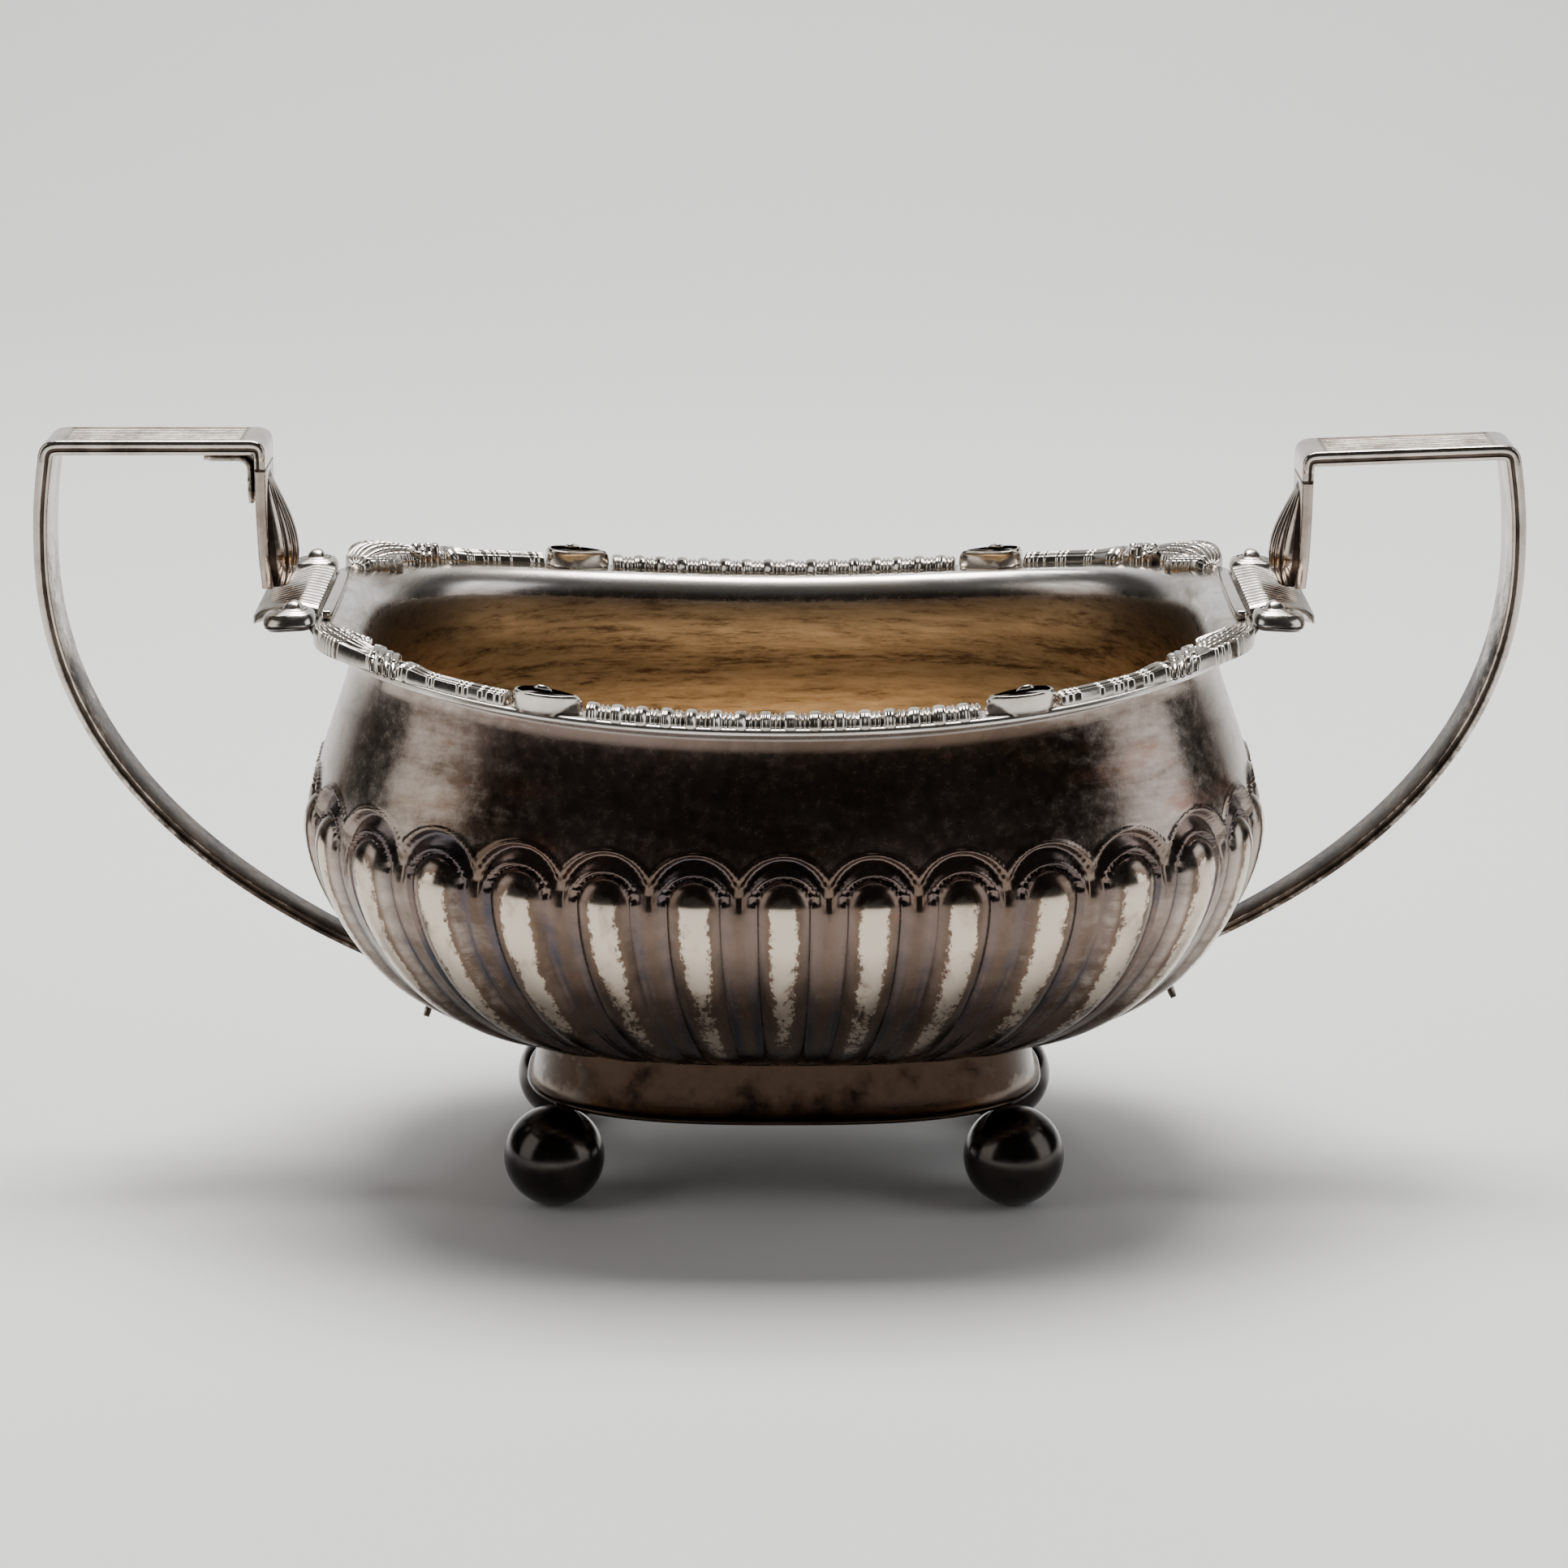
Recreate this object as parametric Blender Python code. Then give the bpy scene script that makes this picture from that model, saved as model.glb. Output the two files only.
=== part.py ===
# Oblong silver sugar bowl: half-fluted body with a saddle-shaped rim and an applied cast border,
# two angular strap handles, a collar foot and four ball feet.
# Metres, +Z up, the long axis along X, the front facing -Y. The origin is under the middle of the
# bowl, at the level it stands on.
import math

import bmesh
import bpy
from mathutils import Vector

for startup_object in list(bpy.data.objects):
    bpy.data.objects.remove(startup_object)

MM = 0.001
SOLDER_GAP = 0.3 * MM  # clearance left at each soldered joint

# Bowl body. Heights are those at the middle of the long sides; the ends rise with the rim.
BELLY_LENGTH = 132.8 * MM
BELLY_WIDTH = 96.6 * MM
NECK_LENGTH = 120.2 * MM
NECK_WIDTH = 88.6 * MM
BELLY_HEIGHT = 51.0 * MM
NECK_HEIGHT = 73.4 * MM
PLAN_EXPONENT = 2.75  # 2 is an ellipse, more is squarer
BELLY_ROUNDNESS = 1.66
SHEET = 1.0 * MM

# Flutes
FLUTE_COUNT = 32
FLUTE_CREST = 1.2 * MM
FLUTE_GROOVE = 0.7 * MM
DART_CREST = 0.3 * MM
FLUTE_TOP_HEIGHT = 58.2 * MM
FLUTE_RUN_OUT = 3.5 * MM

# Rim
RIM_LENGTH = 133.0 * MM
RIM_WIDTH = 100.6 * MM
RIM_HEIGHT = 76.6 * MM
RIM_RISE = 7.0 * MM  # how much higher the rim is at its two ends
RIM_EDGE = 1.0 * MM
BORDER_WIDTH = 4.2 * MM

# Foot
FOOT_LENGTH = 72.4 * MM
FOOT_WIDTH = 49.2 * MM
FOOT_EXPONENT = 2.65
FOOT_TOP_HEIGHT = 22.4 * MM
FOOT_BOTTOM_HEIGHT = 13.5 * MM
FOOT_FLARE = 1.0 * MM
FOOT_FLANGE = 0.7 * MM
FOOT_FLANGE_THICKNESS = 0.9 * MM
FOOT_WALL = 1.5 * MM
BALL_RADIUS = 7.1 * MM
BALL_WEAR = 0.1 * MM
BALL_TURN = 37  # degrees round the foot's outline, as a superellipse angle, from its end to a ball
BALL_OVERHANG = 2.6 * MM  # from the foot's outline out to a ball's centre

# Cast border, as shares of the way round the rim from the middle of a long side to an end
GADROON_END = 0.279
VOLUTE_END = 0.385
BRANCH_END = 0.560
CORNER_END = 0.775
GADROON_COUNT = 16
GADROON_HEIGHT = 1.5 * MM
VOLUTE_HEIGHT = 2.5 * MM
BRANCH_HEIGHT = 1.9 * MM
CORNER_HEIGHT = 2.6 * MM
CORNER_SPREAD = 2.4 * MM  # how far the corner leaf swells out past the border
SCROLL_HEIGHT = 3.3 * MM
SCROLL_RADIUS = 3.7 * MM
SCROLL_SQUASH = 0.92  # a scroll's width along the end, as a share of its length out from it
BAR_WIDTH = 1.6 * MM
BAR_HEIGHT = 1.0 * MM
SOCKET_REACH = 7.1 * MM  # how far the handle's socket plate stands out past the rim
SOCKET_THICKNESS = 1.6 * MM
SOCKET_DROOP = 2.3 * MM
SOCKET_TAPER = 0.3  # share of its width that the plate loses towards its outer edge
SOCKET_REEDS = 9
SOCKET_REED_DEPTH = 0.3 * MM

# Handles
HANDLE_WIDTH = 11.2 * MM
HANDLE_THICKNESS = 2.1 * MM
HANDLE_REACH = 38.0 * MM  # from the rim's end to the handle's outermost face
HANDLE_RISE = 23.0 * MM  # from the rim's end to the top of the handle
HANDLE_CORNER_RADIUS = 2.2 * MM
HANDLE_BOW_DROP = 17.0 * MM
HANDLE_BOW_LEAN = 1.3 * MM
HANDLE_FOOT_HEIGHT = 31.8 * MM
HANDLE_FOOT_RUN = 3.4 * MM
HANDLE_FOOT_THICKNESS = 1.3 * MM
HANDLE_LOW_WIDTH = 6.0 * MM  # the strap narrows and thins from its top corner to the bowl
HANDLE_LOW_THICKNESS = 1.5 * MM
HANDLE_TIP_WIDTH = 4.0 * MM
HANDLE_TIP_RADIUS = 3.2 * MM
UPRIGHT_THICKNESS = 2.0 * MM
UPRIGHT_LEAF_DEPTH = 3.1 * MM
UPRIGHT_INSET = 0.2 * MM  # from the socket plate's outer edge in to the upright
REPAIR_THICKNESS = 0.7 * MM
REPAIR_WIDTH = 9.8 * MM
REPAIR_ARM = 6.4 * MM
# The handles were bent by hand: how much lower each top corner is, how much higher the foot is, and
# how far the bow and its top corner stand in.
HAND_SET = {
    "left": {"inner_drop": 0.0, "outer_drop": 0.0, "foot_lift": 0.0, "bow_in": 0.0},
    "right": {"inner_drop": 1.7 * MM, "outer_drop": 0.6 * MM, "foot_lift": 2.8 * MM, "bow_in": 1.2 * MM},
}

SIDES = {"left": -1, "right": 1}
FACES = {"front": -1, "back": 1}

COLUMNS_PER_FLUTE = 4
FOOT_COLUMNS = 64


# Materials and objects

def silver(name, colour, roughness):
    material = bpy.data.materials.new(name)
    material.use_nodes = True
    shader = material.node_tree.nodes["Principled BSDF"]
    shader.inputs["Base Color"].default_value = (*colour, 1.0)
    shader.inputs["Metallic"].default_value = 1.0
    shader.inputs["Roughness"].default_value = roughness
    return material


FINISHES = {
    "body": ((0.33, 0.28, 0.24), 0.24),
    "foot": ((0.24, 0.18, 0.14), 0.28),
    "ball": ((0.12, 0.11, 0.10), 0.15),
    "border": ((0.62, 0.60, 0.57), 0.22),
    "handle": ((0.70, 0.68, 0.65), 0.20),
    "repair": ((0.42, 0.39, 0.36), 0.35),
}


def add_object(name, form, finish):
    """Closes the form into one outward-facing mesh object of its own."""
    bmesh.ops.recalc_face_normals(form, faces=form.faces)
    mesh = bpy.data.meshes.new(name)
    form.to_mesh(mesh)
    form.free()
    mesh.shade_smooth()
    mesh.set_sharp_from_angle(angle=math.radians(40))
    thing = bpy.data.objects.new(name, mesh)
    bpy.context.scene.collection.objects.link(thing)
    mesh.materials.append(silver(name, *FINISHES[finish]))
    return thing


def loft(rings):
    """A closed form through rings of points, with its two ends capped."""
    form = bmesh.new()
    loops = [[form.verts.new(point) for point in ring] for ring in rings]
    count = len(loops[0])
    for low, high in zip(loops, loops[1:]):
        for i in range(count):
            j = (i + 1) % count
            form.faces.new((low[i], low[j], high[j], high[i]))
    form.faces.new(loops[0])
    form.faces.new(loops[-1])
    return form


# Plan outlines

def quarter_outline(half_length, half_width, exponent, steps):
    """Evenly spaced points from (0, half_width) round to (half_length, 0)."""
    fine = 600
    points = []
    for i in range(fine + 1):
        angle = math.pi / 2 * i / fine
        x = half_length * math.sin(angle) ** (2 / exponent)
        y = half_width * math.cos(angle) ** (2 / exponent) if i < fine else 0.0
        points.append(Vector((x, y)))
    lengths = [0.0]
    for before, after in zip(points, points[1:]):
        lengths.append(lengths[-1] + (after - before).length)
    found = []
    k = 0
    for step in range(steps + 1):
        target = lengths[-1] * step / steps
        while k < fine - 1 and lengths[k + 1] < target:
            k += 1
        share = (target - lengths[k]) / (lengths[k + 1] - lengths[k])
        found.append(points[k].lerp(points[k + 1], min(1.0, share)))
    return found


def whole_outline(half_length, half_width, exponent, count):
    """Evenly spaced points all the way round, anticlockwise from the +X end."""
    quarter = quarter_outline(half_length, half_width, exponent, count // 4)[::-1]
    steps = count // 4
    ring = [Vector((p.x, p.y)) for p in quarter[:steps]]
    ring += [Vector((-p.x, p.y)) for p in quarter[:0:-1]]
    ring += [Vector((-p.x, -p.y)) for p in quarter[:steps]]
    ring += [Vector((p.x, -p.y)) for p in quarter[:0:-1]]
    return ring


def outline_normal(point, half_length, half_width, exponent):
    nx = math.copysign((abs(point.x) / half_length) ** (exponent - 1) / half_length, point.x)
    ny = math.copysign((abs(point.y) / half_width) ** (exponent - 1) / half_width, point.y)
    return Vector((nx, ny)).normalized()


def saddle(x):
    """How far the rim's level is raised at x."""
    half = RIM_LENGTH / 2
    return RIM_RISE * (min(abs(x), half) / half) ** 2


# Bowl body

FOOT_JOINT_HEIGHT = FOOT_TOP_HEIGHT + SOLDER_GAP


def body_half(belly, neck, foot, height):
    """Half the plain body's length or width at a height, from its belly, neck and foot sizes."""
    if height <= BELLY_HEIGHT:
        down = (BELLY_HEIGHT - height) / (BELLY_HEIGHT - FOOT_JOINT_HEIGHT)
        bulge = (1 - min(1.0, down) ** BELLY_ROUNDNESS) ** (1 / BELLY_ROUNDNESS)
        return foot / 2 + (belly - foot) / 2 * bulge
    up = (height - BELLY_HEIGHT) / (NECK_HEIGHT - BELLY_HEIGHT)
    return neck / 2 + (belly - neck) / 2 * math.cos(math.pi / 2 * min(1.0, up)) ** 1.5


def rise_share(height):
    """How much of the rim's saddle shape the body takes up at a height."""
    share = (height - FOOT_JOINT_HEIGHT) / (NECK_HEIGHT - FOOT_JOINT_HEIGHT)
    return min(1.0, max(0.0, share)) ** 2


def flute_strength(height):
    above = (FLUTE_TOP_HEIGHT + FLUTE_RUN_OUT / 2 - height) / FLUTE_RUN_OUT
    below = 0.45 + 0.55 * (height - FOOT_JOINT_HEIGHT) / (10 * MM)
    return min(1.0, max(0.0, above), below)


def flute_relief(column):
    """Crest, groove, dart and groove again, round each flute."""
    return (FLUTE_CREST, -FLUTE_GROOVE, DART_CREST, -FLUTE_GROOVE)[column % COLUMNS_PER_FLUTE]


def body_ring(half_length, half_width, height, relief=0.0, rise=None, exponent=PLAN_EXPONENT):
    rise = rise_share(height) if rise is None else rise
    count = FLUTE_COUNT * COLUMNS_PER_FLUTE
    ring = []
    for i, point in enumerate(whole_outline(half_length, half_width, exponent, count)):
        normal = outline_normal(point, half_length, half_width, exponent)
        out = point + normal * relief * flute_relief(i)
        ring.append((out.x, out.y, height + rise * saddle(out.x)))
    return ring


def plan_exponent(height):
    """The plan goes from the foot's outline to the body's over the lowest third of the body."""
    share = (height - FOOT_JOINT_HEIGHT) / (BELLY_HEIGHT - FOOT_JOINT_HEIGHT)
    return FOOT_EXPONENT + (PLAN_EXPONENT - FOOT_EXPONENT) * min(1.0, 3 * max(0.0, share))


def outer_rings():
    span = BELLY_HEIGHT - FOOT_JOINT_HEIGHT
    heights = [FOOT_JOINT_HEIGHT + span * share for share in (0.0, 0.1, 0.3, 0.6, 1.0)]
    heights += [FLUTE_TOP_HEIGHT - FLUTE_RUN_OUT / 2, FLUTE_TOP_HEIGHT + FLUTE_RUN_OUT / 2]
    heights += [(heights[-1] + NECK_HEIGHT) / 2, NECK_HEIGHT]
    rings = []
    for height in heights:
        long = body_half(BELLY_LENGTH, NECK_LENGTH, FOOT_LENGTH, height)
        wide = body_half(BELLY_WIDTH, NECK_WIDTH, FOOT_WIDTH, height)
        relief = flute_strength(height)
        rings.append(body_ring(long, wide, height, relief, None, plan_exponent(height)))
    return rings


def rim_rings():
    """Up the flare, round the rim's edge, over the border's seat and down the inner flare."""
    flare_long = (RIM_LENGTH - NECK_LENGTH) / 2
    flare_wide = (RIM_WIDTH - NECK_WIDTH) / 2
    under = RIM_HEIGHT - RIM_EDGE
    rings = []
    for share in (0.45, 0.78):
        out = 1 - math.cos(share * math.pi / 2)
        up = math.sin(share * math.pi / 2)
        height = NECK_HEIGHT + (under - NECK_HEIGHT) * up
        long = NECK_LENGTH / 2 + flare_long * out
        wide = NECK_WIDTH / 2 + flare_wide * out
        rings.append(body_ring(long, wide, height))
    rings.append(body_ring(RIM_LENGTH / 2, RIM_WIDTH / 2, under))
    rings.append(body_ring(RIM_LENGTH / 2, RIM_WIDTH / 2, RIM_HEIGHT))
    seat = BORDER_WIDTH + 0.2 * MM
    rings.append(body_ring(RIM_LENGTH / 2 - seat, RIM_WIDTH / 2 - seat, RIM_HEIGHT))
    drop = NECK_HEIGHT + (under - NECK_HEIGHT) * 0.35
    rings.append(body_ring(NECK_LENGTH / 2 - SHEET * 0.7, NECK_WIDTH / 2 - SHEET * 0.7, drop))
    return rings


def inner_rings():
    floor = FOOT_JOINT_HEIGHT + 1.3 * SHEET
    rings = []
    for height in (
        NECK_HEIGHT - 2 * SHEET,
        FLUTE_TOP_HEIGHT + FLUTE_RUN_OUT / 2,
        BELLY_HEIGHT,
        FOOT_JOINT_HEIGHT + (BELLY_HEIGHT - FOOT_JOINT_HEIGHT) * 0.45,
        FOOT_JOINT_HEIGHT + (BELLY_HEIGHT - FOOT_JOINT_HEIGHT) * 0.15,
    ):
        wall = SHEET + FLUTE_GROOVE * flute_strength(height)
        long = body_half(BELLY_LENGTH, NECK_LENGTH, FOOT_LENGTH, height) - wall
        wide = body_half(BELLY_WIDTH, NECK_WIDTH, FOOT_WIDTH, height) - wall
        rings.append(body_ring(long, wide, height, 0.0, None, plan_exponent(height)))
    long = FOOT_LENGTH / 2 - 2 * SHEET
    wide = FOOT_WIDTH / 2 - 2 * SHEET
    rings.append(body_ring(long, wide, floor, 0.0, 0.0, FOOT_EXPONENT))
    return rings


def make_body():
    return add_object("bowl_body", loft(outer_rings() + rim_rings() + inner_rings()), "body")


# Foot

def foot_ring(grow, height):
    outline = whole_outline(FOOT_LENGTH / 2 + grow, FOOT_WIDTH / 2 + grow, FOOT_EXPONENT, FOOT_COLUMNS)
    return [(point.x, point.y, height) for point in outline]


def make_foot_collar():
    flange_top = FOOT_BOTTOM_HEIGHT + FOOT_FLANGE_THICKNESS
    profile = [
        (-FOOT_FLARE, FOOT_TOP_HEIGHT),
        (-FOOT_FLARE * 0.6, (FOOT_TOP_HEIGHT + flange_top) / 2),
        (0.0, flange_top),
        (FOOT_FLANGE, flange_top - FOOT_FLANGE_THICKNESS * 0.2),
        (FOOT_FLANGE, FOOT_BOTTOM_HEIGHT + FOOT_FLANGE_THICKNESS * 0.2),
        (FOOT_FLANGE * 0.5, FOOT_BOTTOM_HEIGHT),
        (-FOOT_WALL, FOOT_BOTTOM_HEIGHT),
        (-FOOT_FLARE - FOOT_WALL, FOOT_TOP_HEIGHT),
    ]
    form = bmesh.new()
    loops = [[form.verts.new(point) for point in foot_ring(*row)] for row in profile]
    for low, high in zip(loops, loops[1:] + loops[:1]):
        for i in range(FOOT_COLUMNS):
            j = (i + 1) % FOOT_COLUMNS
            form.faces.new((low[i], low[j], high[j], high[i]))
    add_object("foot_collar", form, "foot")


def make_ball_feet():
    seat = loft([
        foot_ring(FOOT_FLANGE + SOLDER_GAP, FOOT_BOTTOM_HEIGHT - SOLDER_GAP),
        foot_ring(FOOT_FLANGE + SOLDER_GAP, FOOT_TOP_HEIGHT),
    ])
    cutter = add_object("ball_seat_cutter", seat, "foot")
    cutter.hide_render = True
    cutter.display_type = "WIRE"
    turn = math.radians(BALL_TURN)
    corner = Vector((
        FOOT_LENGTH / 2 * math.cos(turn) ** (2 / FOOT_EXPONENT),
        FOOT_WIDTH / 2 * math.sin(turn) ** (2 / FOOT_EXPONENT),
    ))
    centre = corner + outline_normal(corner, FOOT_LENGTH / 2, FOOT_WIDTH / 2, FOOT_EXPONENT) * BALL_OVERHANG
    for side, sx in SIDES.items():
        for face, sy in FACES.items():
            form = bmesh.new()
            bmesh.ops.create_uvsphere(form, u_segments=20, v_segments=12, radius=BALL_RADIUS)
            worn = Vector((0, 0, BALL_WEAR - BALL_RADIUS))
            everything = form.verts[:] + form.edges[:] + form.faces[:]
            cut = bmesh.ops.bisect_plane(
                form, geom=everything, plane_co=worn, plane_no=(0, 0, -1), clear_outer=True
            )
            rim = [edge for edge in cut["geom_cut"] if isinstance(edge, bmesh.types.BMEdge)]
            bmesh.ops.edgeloop_fill(form, edges=rim)
            ball = add_object(f"ball_foot_{face}_{side}", form, "ball")
            ball.location = (sx * centre.x, sy * centre.y, BALL_RADIUS - BALL_WEAR)
            seat_cut = ball.modifiers.new("seat", "BOOLEAN")
            seat_cut.operation = "DIFFERENCE"
            seat_cut.object = cutter


# Cast border

BORDER_HALF_LENGTH = RIM_LENGTH / 2 - BORDER_WIDTH / 2
BORDER_HALF_WIDTH = RIM_WIDTH / 2 - BORDER_WIDTH / 2
BORDER_STEPS = 400
BORDER_LINE = quarter_outline(BORDER_HALF_LENGTH, BORDER_HALF_WIDTH, PLAN_EXPONENT, BORDER_STEPS)
BORDER_RUN = sum((b - a).length for a, b in zip(BORDER_LINE, BORDER_LINE[1:]))
GAP_SHARE = SOLDER_GAP / BORDER_RUN


def border_point(share, out, sx, sy):
    """A place on the rim: a share of the way from the long side's middle to the end, and how far out."""
    step = abs(share) * BORDER_STEPS
    low = min(int(step), BORDER_STEPS - 1)
    point = BORDER_LINE[low].lerp(BORDER_LINE[low + 1], step - low)
    normal = outline_normal(point, BORDER_HALF_LENGTH, BORDER_HALF_WIDTH, PLAN_EXPONENT)
    place = point + normal * out
    turn = -1 if share < 0 else 1
    return Vector((turn * sx * place.x, sy * place.y))


def on_rim(place, height):
    return (place.x, place.y, RIM_HEIGHT + saddle(place.x) + SOLDER_GAP + height)


def border_strip(stations, section, sx, sy):
    """Rings along the rim. A station is (share, out, half width, height), a section (across, up) pairs."""
    rings = []
    for share, out, half_width, height in stations:
        ring = []
        for across, up in section:
            ring.append(on_rim(border_point(share, out + across * half_width, sx, sy), up * height))
        rings.append(ring)
    return loft(rings)


BEAD_SECTION = ((-1.0, 0.0), (-0.95, 0.6), (-0.5, 1.0), (0.5, 1.0), (0.95, 0.6), (1.0, 0.0))
REED_SECTION = (
    (-1.0, 0.0), (-0.95, 0.5), (-0.65, 0.9), (-0.38, 0.6), (0.0, 1.0),
    (0.38, 0.6), (0.65, 0.9), (0.95, 0.5), (1.0, 0.0),
)


def make_gadroons():
    """A row of plump beads along the middle of each long side, with a fillet between each pair."""
    half_run = GADROON_END - GAP_SHARE
    pitch = 2 * half_run / GADROON_COUNT
    swell = ((0.0, 0.62), (0.2, 0.62), (0.38, 1.0), (0.82, 1.0))
    for face, sy in FACES.items():
        stations = []
        for bead in range(GADROON_COUNT):
            for place, size in swell:
                share = -half_run + pitch * (bead + place)
                stations.append((share, 0.0, BORDER_WIDTH / 2 * (0.7 + 0.2 * size), GADROON_HEIGHT * size))
        stations.append((half_run, 0.0, BORDER_WIDTH / 2 * 0.82, GADROON_HEIGHT * 0.62))
        add_object(f"gadroon_{face}", border_strip(stations, BEAD_SECTION, 1, sy), "border")


def dome(centre_share, centre_out, half_run, half_width, height, point_end, sx, sy):
    """A stepped boss on the rim: rings that shrink to a round eye. point_end sharpens its inner end."""
    steps = (
        (1.0, 0.0), (1.0, 0.30), (0.86, 0.48), (0.66, 0.40),
        (0.60, 0.66), (0.42, 0.62), (0.34, 0.94), (0.15, 1.0),
    )
    count = 16
    rings = []
    for size, up in steps:
        ring = []
        for i in range(count):
            angle = 2 * math.pi * i / count
            along = -math.cos(angle)
            thin = 1 - point_end * max(0.0, -along) ** 1.5
            share = centre_share + half_run * along * size
            out = centre_out + half_width * math.sin(angle) * thin * size
            ring.append(on_rim(border_point(share, out, sx, sy), up * height))
        rings.append(ring)
    return loft(rings)


def make_volutes(side, sx, face, sy):
    middle = (GADROON_END + VOLUTE_END) / 2
    half_run = (VOLUTE_END - GADROON_END) / 2 - GAP_SHARE
    form = dome(middle, 0.0, half_run, BORDER_WIDTH / 2, VOLUTE_HEIGHT, 0.55, sx, sy)
    add_object(f"volute_{face}_{side}", form, "border")


def make_branches(side, sx, face, sy):
    start = VOLUTE_END + GAP_SHARE
    end = BRANCH_END - GAP_SHARE
    stations = []
    for i in range(9):
        t = i / 8
        width = BORDER_WIDTH / 2 * (0.95 - 0.25 * t)
        stations.append((start + (end - start) * t, -0.2 * MM * t, width, BRANCH_HEIGHT * (0.9 + 0.1 * t)))
    add_object(f"reed_branch_{face}_{side}", border_strip(stations, REED_SECTION, sx, sy), "border")


def make_corners(side, sx, face, sy):
    """The bound tie and the leaf that swells out round each corner of the rim."""
    start = BRANCH_END + GAP_SHARE
    end = CORNER_END - GAP_SHARE
    count = 15
    stations = []
    for i in range(count):
        t = i / (count - 1)
        leaf = math.sin(math.pi * min(1.0, max(0.0, (t - 0.22) / 0.78)) ** 0.8)
        tie = 0.5 + 0.5 * math.cos(6 * math.pi * t / 0.3) if t < 0.3 else 0.0
        width = BORDER_WIDTH / 2 * (0.78 + 0.14 * tie + 0.55 * leaf)
        height = CORNER_HEIGHT * (0.62 + 0.16 * tie + 0.38 * leaf)
        stations.append((start + (end - start) * t, CORNER_SPREAD * leaf * 0.8, width, height))
    add_object(f"acanthus_corner_{face}_{side}", border_strip(stations, REED_SECTION, sx, sy), "border")


def end_scroll_centre():
    """Where the end scroll's eye stands: past the corner leaf and beside the socket plate."""
    edge = border_point(CORNER_END + GAP_SHARE, 0.0, 1, 1)
    return Vector((RIM_LENGTH / 2 + 1.5 * MM, edge.y - SCROLL_RADIUS * SCROLL_SQUASH))


def make_end_scrolls(side, sx, face, sy):
    centre = end_scroll_centre()
    steps = (
        (1.0, 0.0), (1.0, 0.45), (0.85, 0.62), (0.66, 0.52),
        (0.6, 0.78), (0.42, 0.74), (0.36, 0.95), (0.15, 1.0),
    )
    count = 18
    rings = []
    for size, up in steps:
        ring = []
        for i in range(count):
            angle = 2 * math.pi * i / count
            long = SCROLL_RADIUS * (1.0 + 0.25 * max(0.0, math.cos(angle)))
            x = centre.x + long * size * math.cos(angle)
            y = centre.y + SCROLL_RADIUS * SCROLL_SQUASH * size * math.sin(angle)
            ring.append(on_rim(Vector((sx * x, sy * y)), up * SCROLL_HEIGHT))
        rings.append(ring)
    add_object(f"end_scroll_{face}_{side}", loft(rings), "border")


BAR_CENTRE = RIM_LENGTH / 2 - BORDER_WIDTH + BAR_WIDTH / 2
SOCKET_START = BAR_CENTRE + BAR_WIDTH / 2 + SOLDER_GAP
SOCKET_END = RIM_LENGTH / 2 + SOCKET_REACH


def socket_half_width():
    return end_scroll_centre().y - SCROLL_RADIUS * SCROLL_SQUASH - SOLDER_GAP


def make_end_bar(side, sx):
    half = socket_half_width()
    section = ((-0.5, 0.0), (-0.5, 0.8), (-0.3, 1.0), (0.3, 1.0), (0.5, 0.8), (0.5, 0.0))
    rings = []
    for i in range(5):
        y = -half + 2 * half * i / 4
        ring = []
        for across, up in section:
            ring.append(on_rim(Vector((sx * (BAR_CENTRE + across * BAR_WIDTH), y)), up * BAR_HEIGHT))
        rings.append(ring)
    add_object(f"end_bar_{side}", loft(rings), "border")


def socket_droop(x):
    past = max(0.0, abs(x) - RIM_LENGTH / 2) / SOCKET_REACH
    return SOCKET_DROOP * past ** 1.3


def socket_top(x):
    return RIM_HEIGHT + saddle(x) + SOLDER_GAP + SOCKET_THICKNESS - socket_droop(x)


def make_socket_plate(side, sx):
    """The reeded plate that carries the handle's upright, fanning in a little towards its outer edge."""
    rings = []
    for i in range(6):
        t = i / 5
        x = SOCKET_START + (SOCKET_END - SOCKET_START) * t
        half = socket_half_width() * (1.0 - SOCKET_TAPER * t ** 2)
        top = []
        bottom = []
        for k in range(2 * SOCKET_REEDS + 1):
            y = -half + half * k / SOCKET_REEDS
            valley = 0.0 if k % 2 else SOCKET_REED_DEPTH
            edge = SOCKET_REED_DEPTH if k in (0, 2 * SOCKET_REEDS) else 0.0
            top.append((sx * x, y, socket_top(x) - valley - edge))
        for y in (half, -half):
            bottom.append((sx * x, y, socket_top(x) - SOCKET_THICKNESS))
        rings.append(top + bottom)
    add_object(f"socket_plate_{side}", loft(rings), "border")


# Handles

UPRIGHT_OUTER = SOCKET_END - UPRIGHT_INSET
HANDLE_TOP = RIM_HEIGHT + RIM_RISE + HANDLE_RISE
HANDLE_OUTER = RIM_LENGTH / 2 + HANDLE_REACH - HANDLE_THICKNESS / 2
TOP_BAR_START = UPRIGHT_OUTER - UPRIGHT_THICKNESS - 0.4 * MM


def body_end_profile(height):
    """The flute crest at the bowl's end: x and z of the surface that belongs to a body height."""
    x = body_half(BELLY_LENGTH, NECK_LENGTH, FOOT_LENGTH, height) + FLUTE_CREST * flute_strength(height)
    return Vector((x, height + rise_share(height) * saddle(x)))


def beside_body(height, away):
    """A point that far off the bowl's end, square to its surface."""
    step = 0.2 * MM
    along = (body_end_profile(height + step) - body_end_profile(height - step)).normalized()
    return body_end_profile(height) + Vector((along.y, -along.x)) * away


def bezier(a, b, c, d, t):
    s = 1 - t
    return a * s ** 3 + b * (3 * s * s * t) + c * (3 * s * t * t) + d * t ** 3


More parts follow.
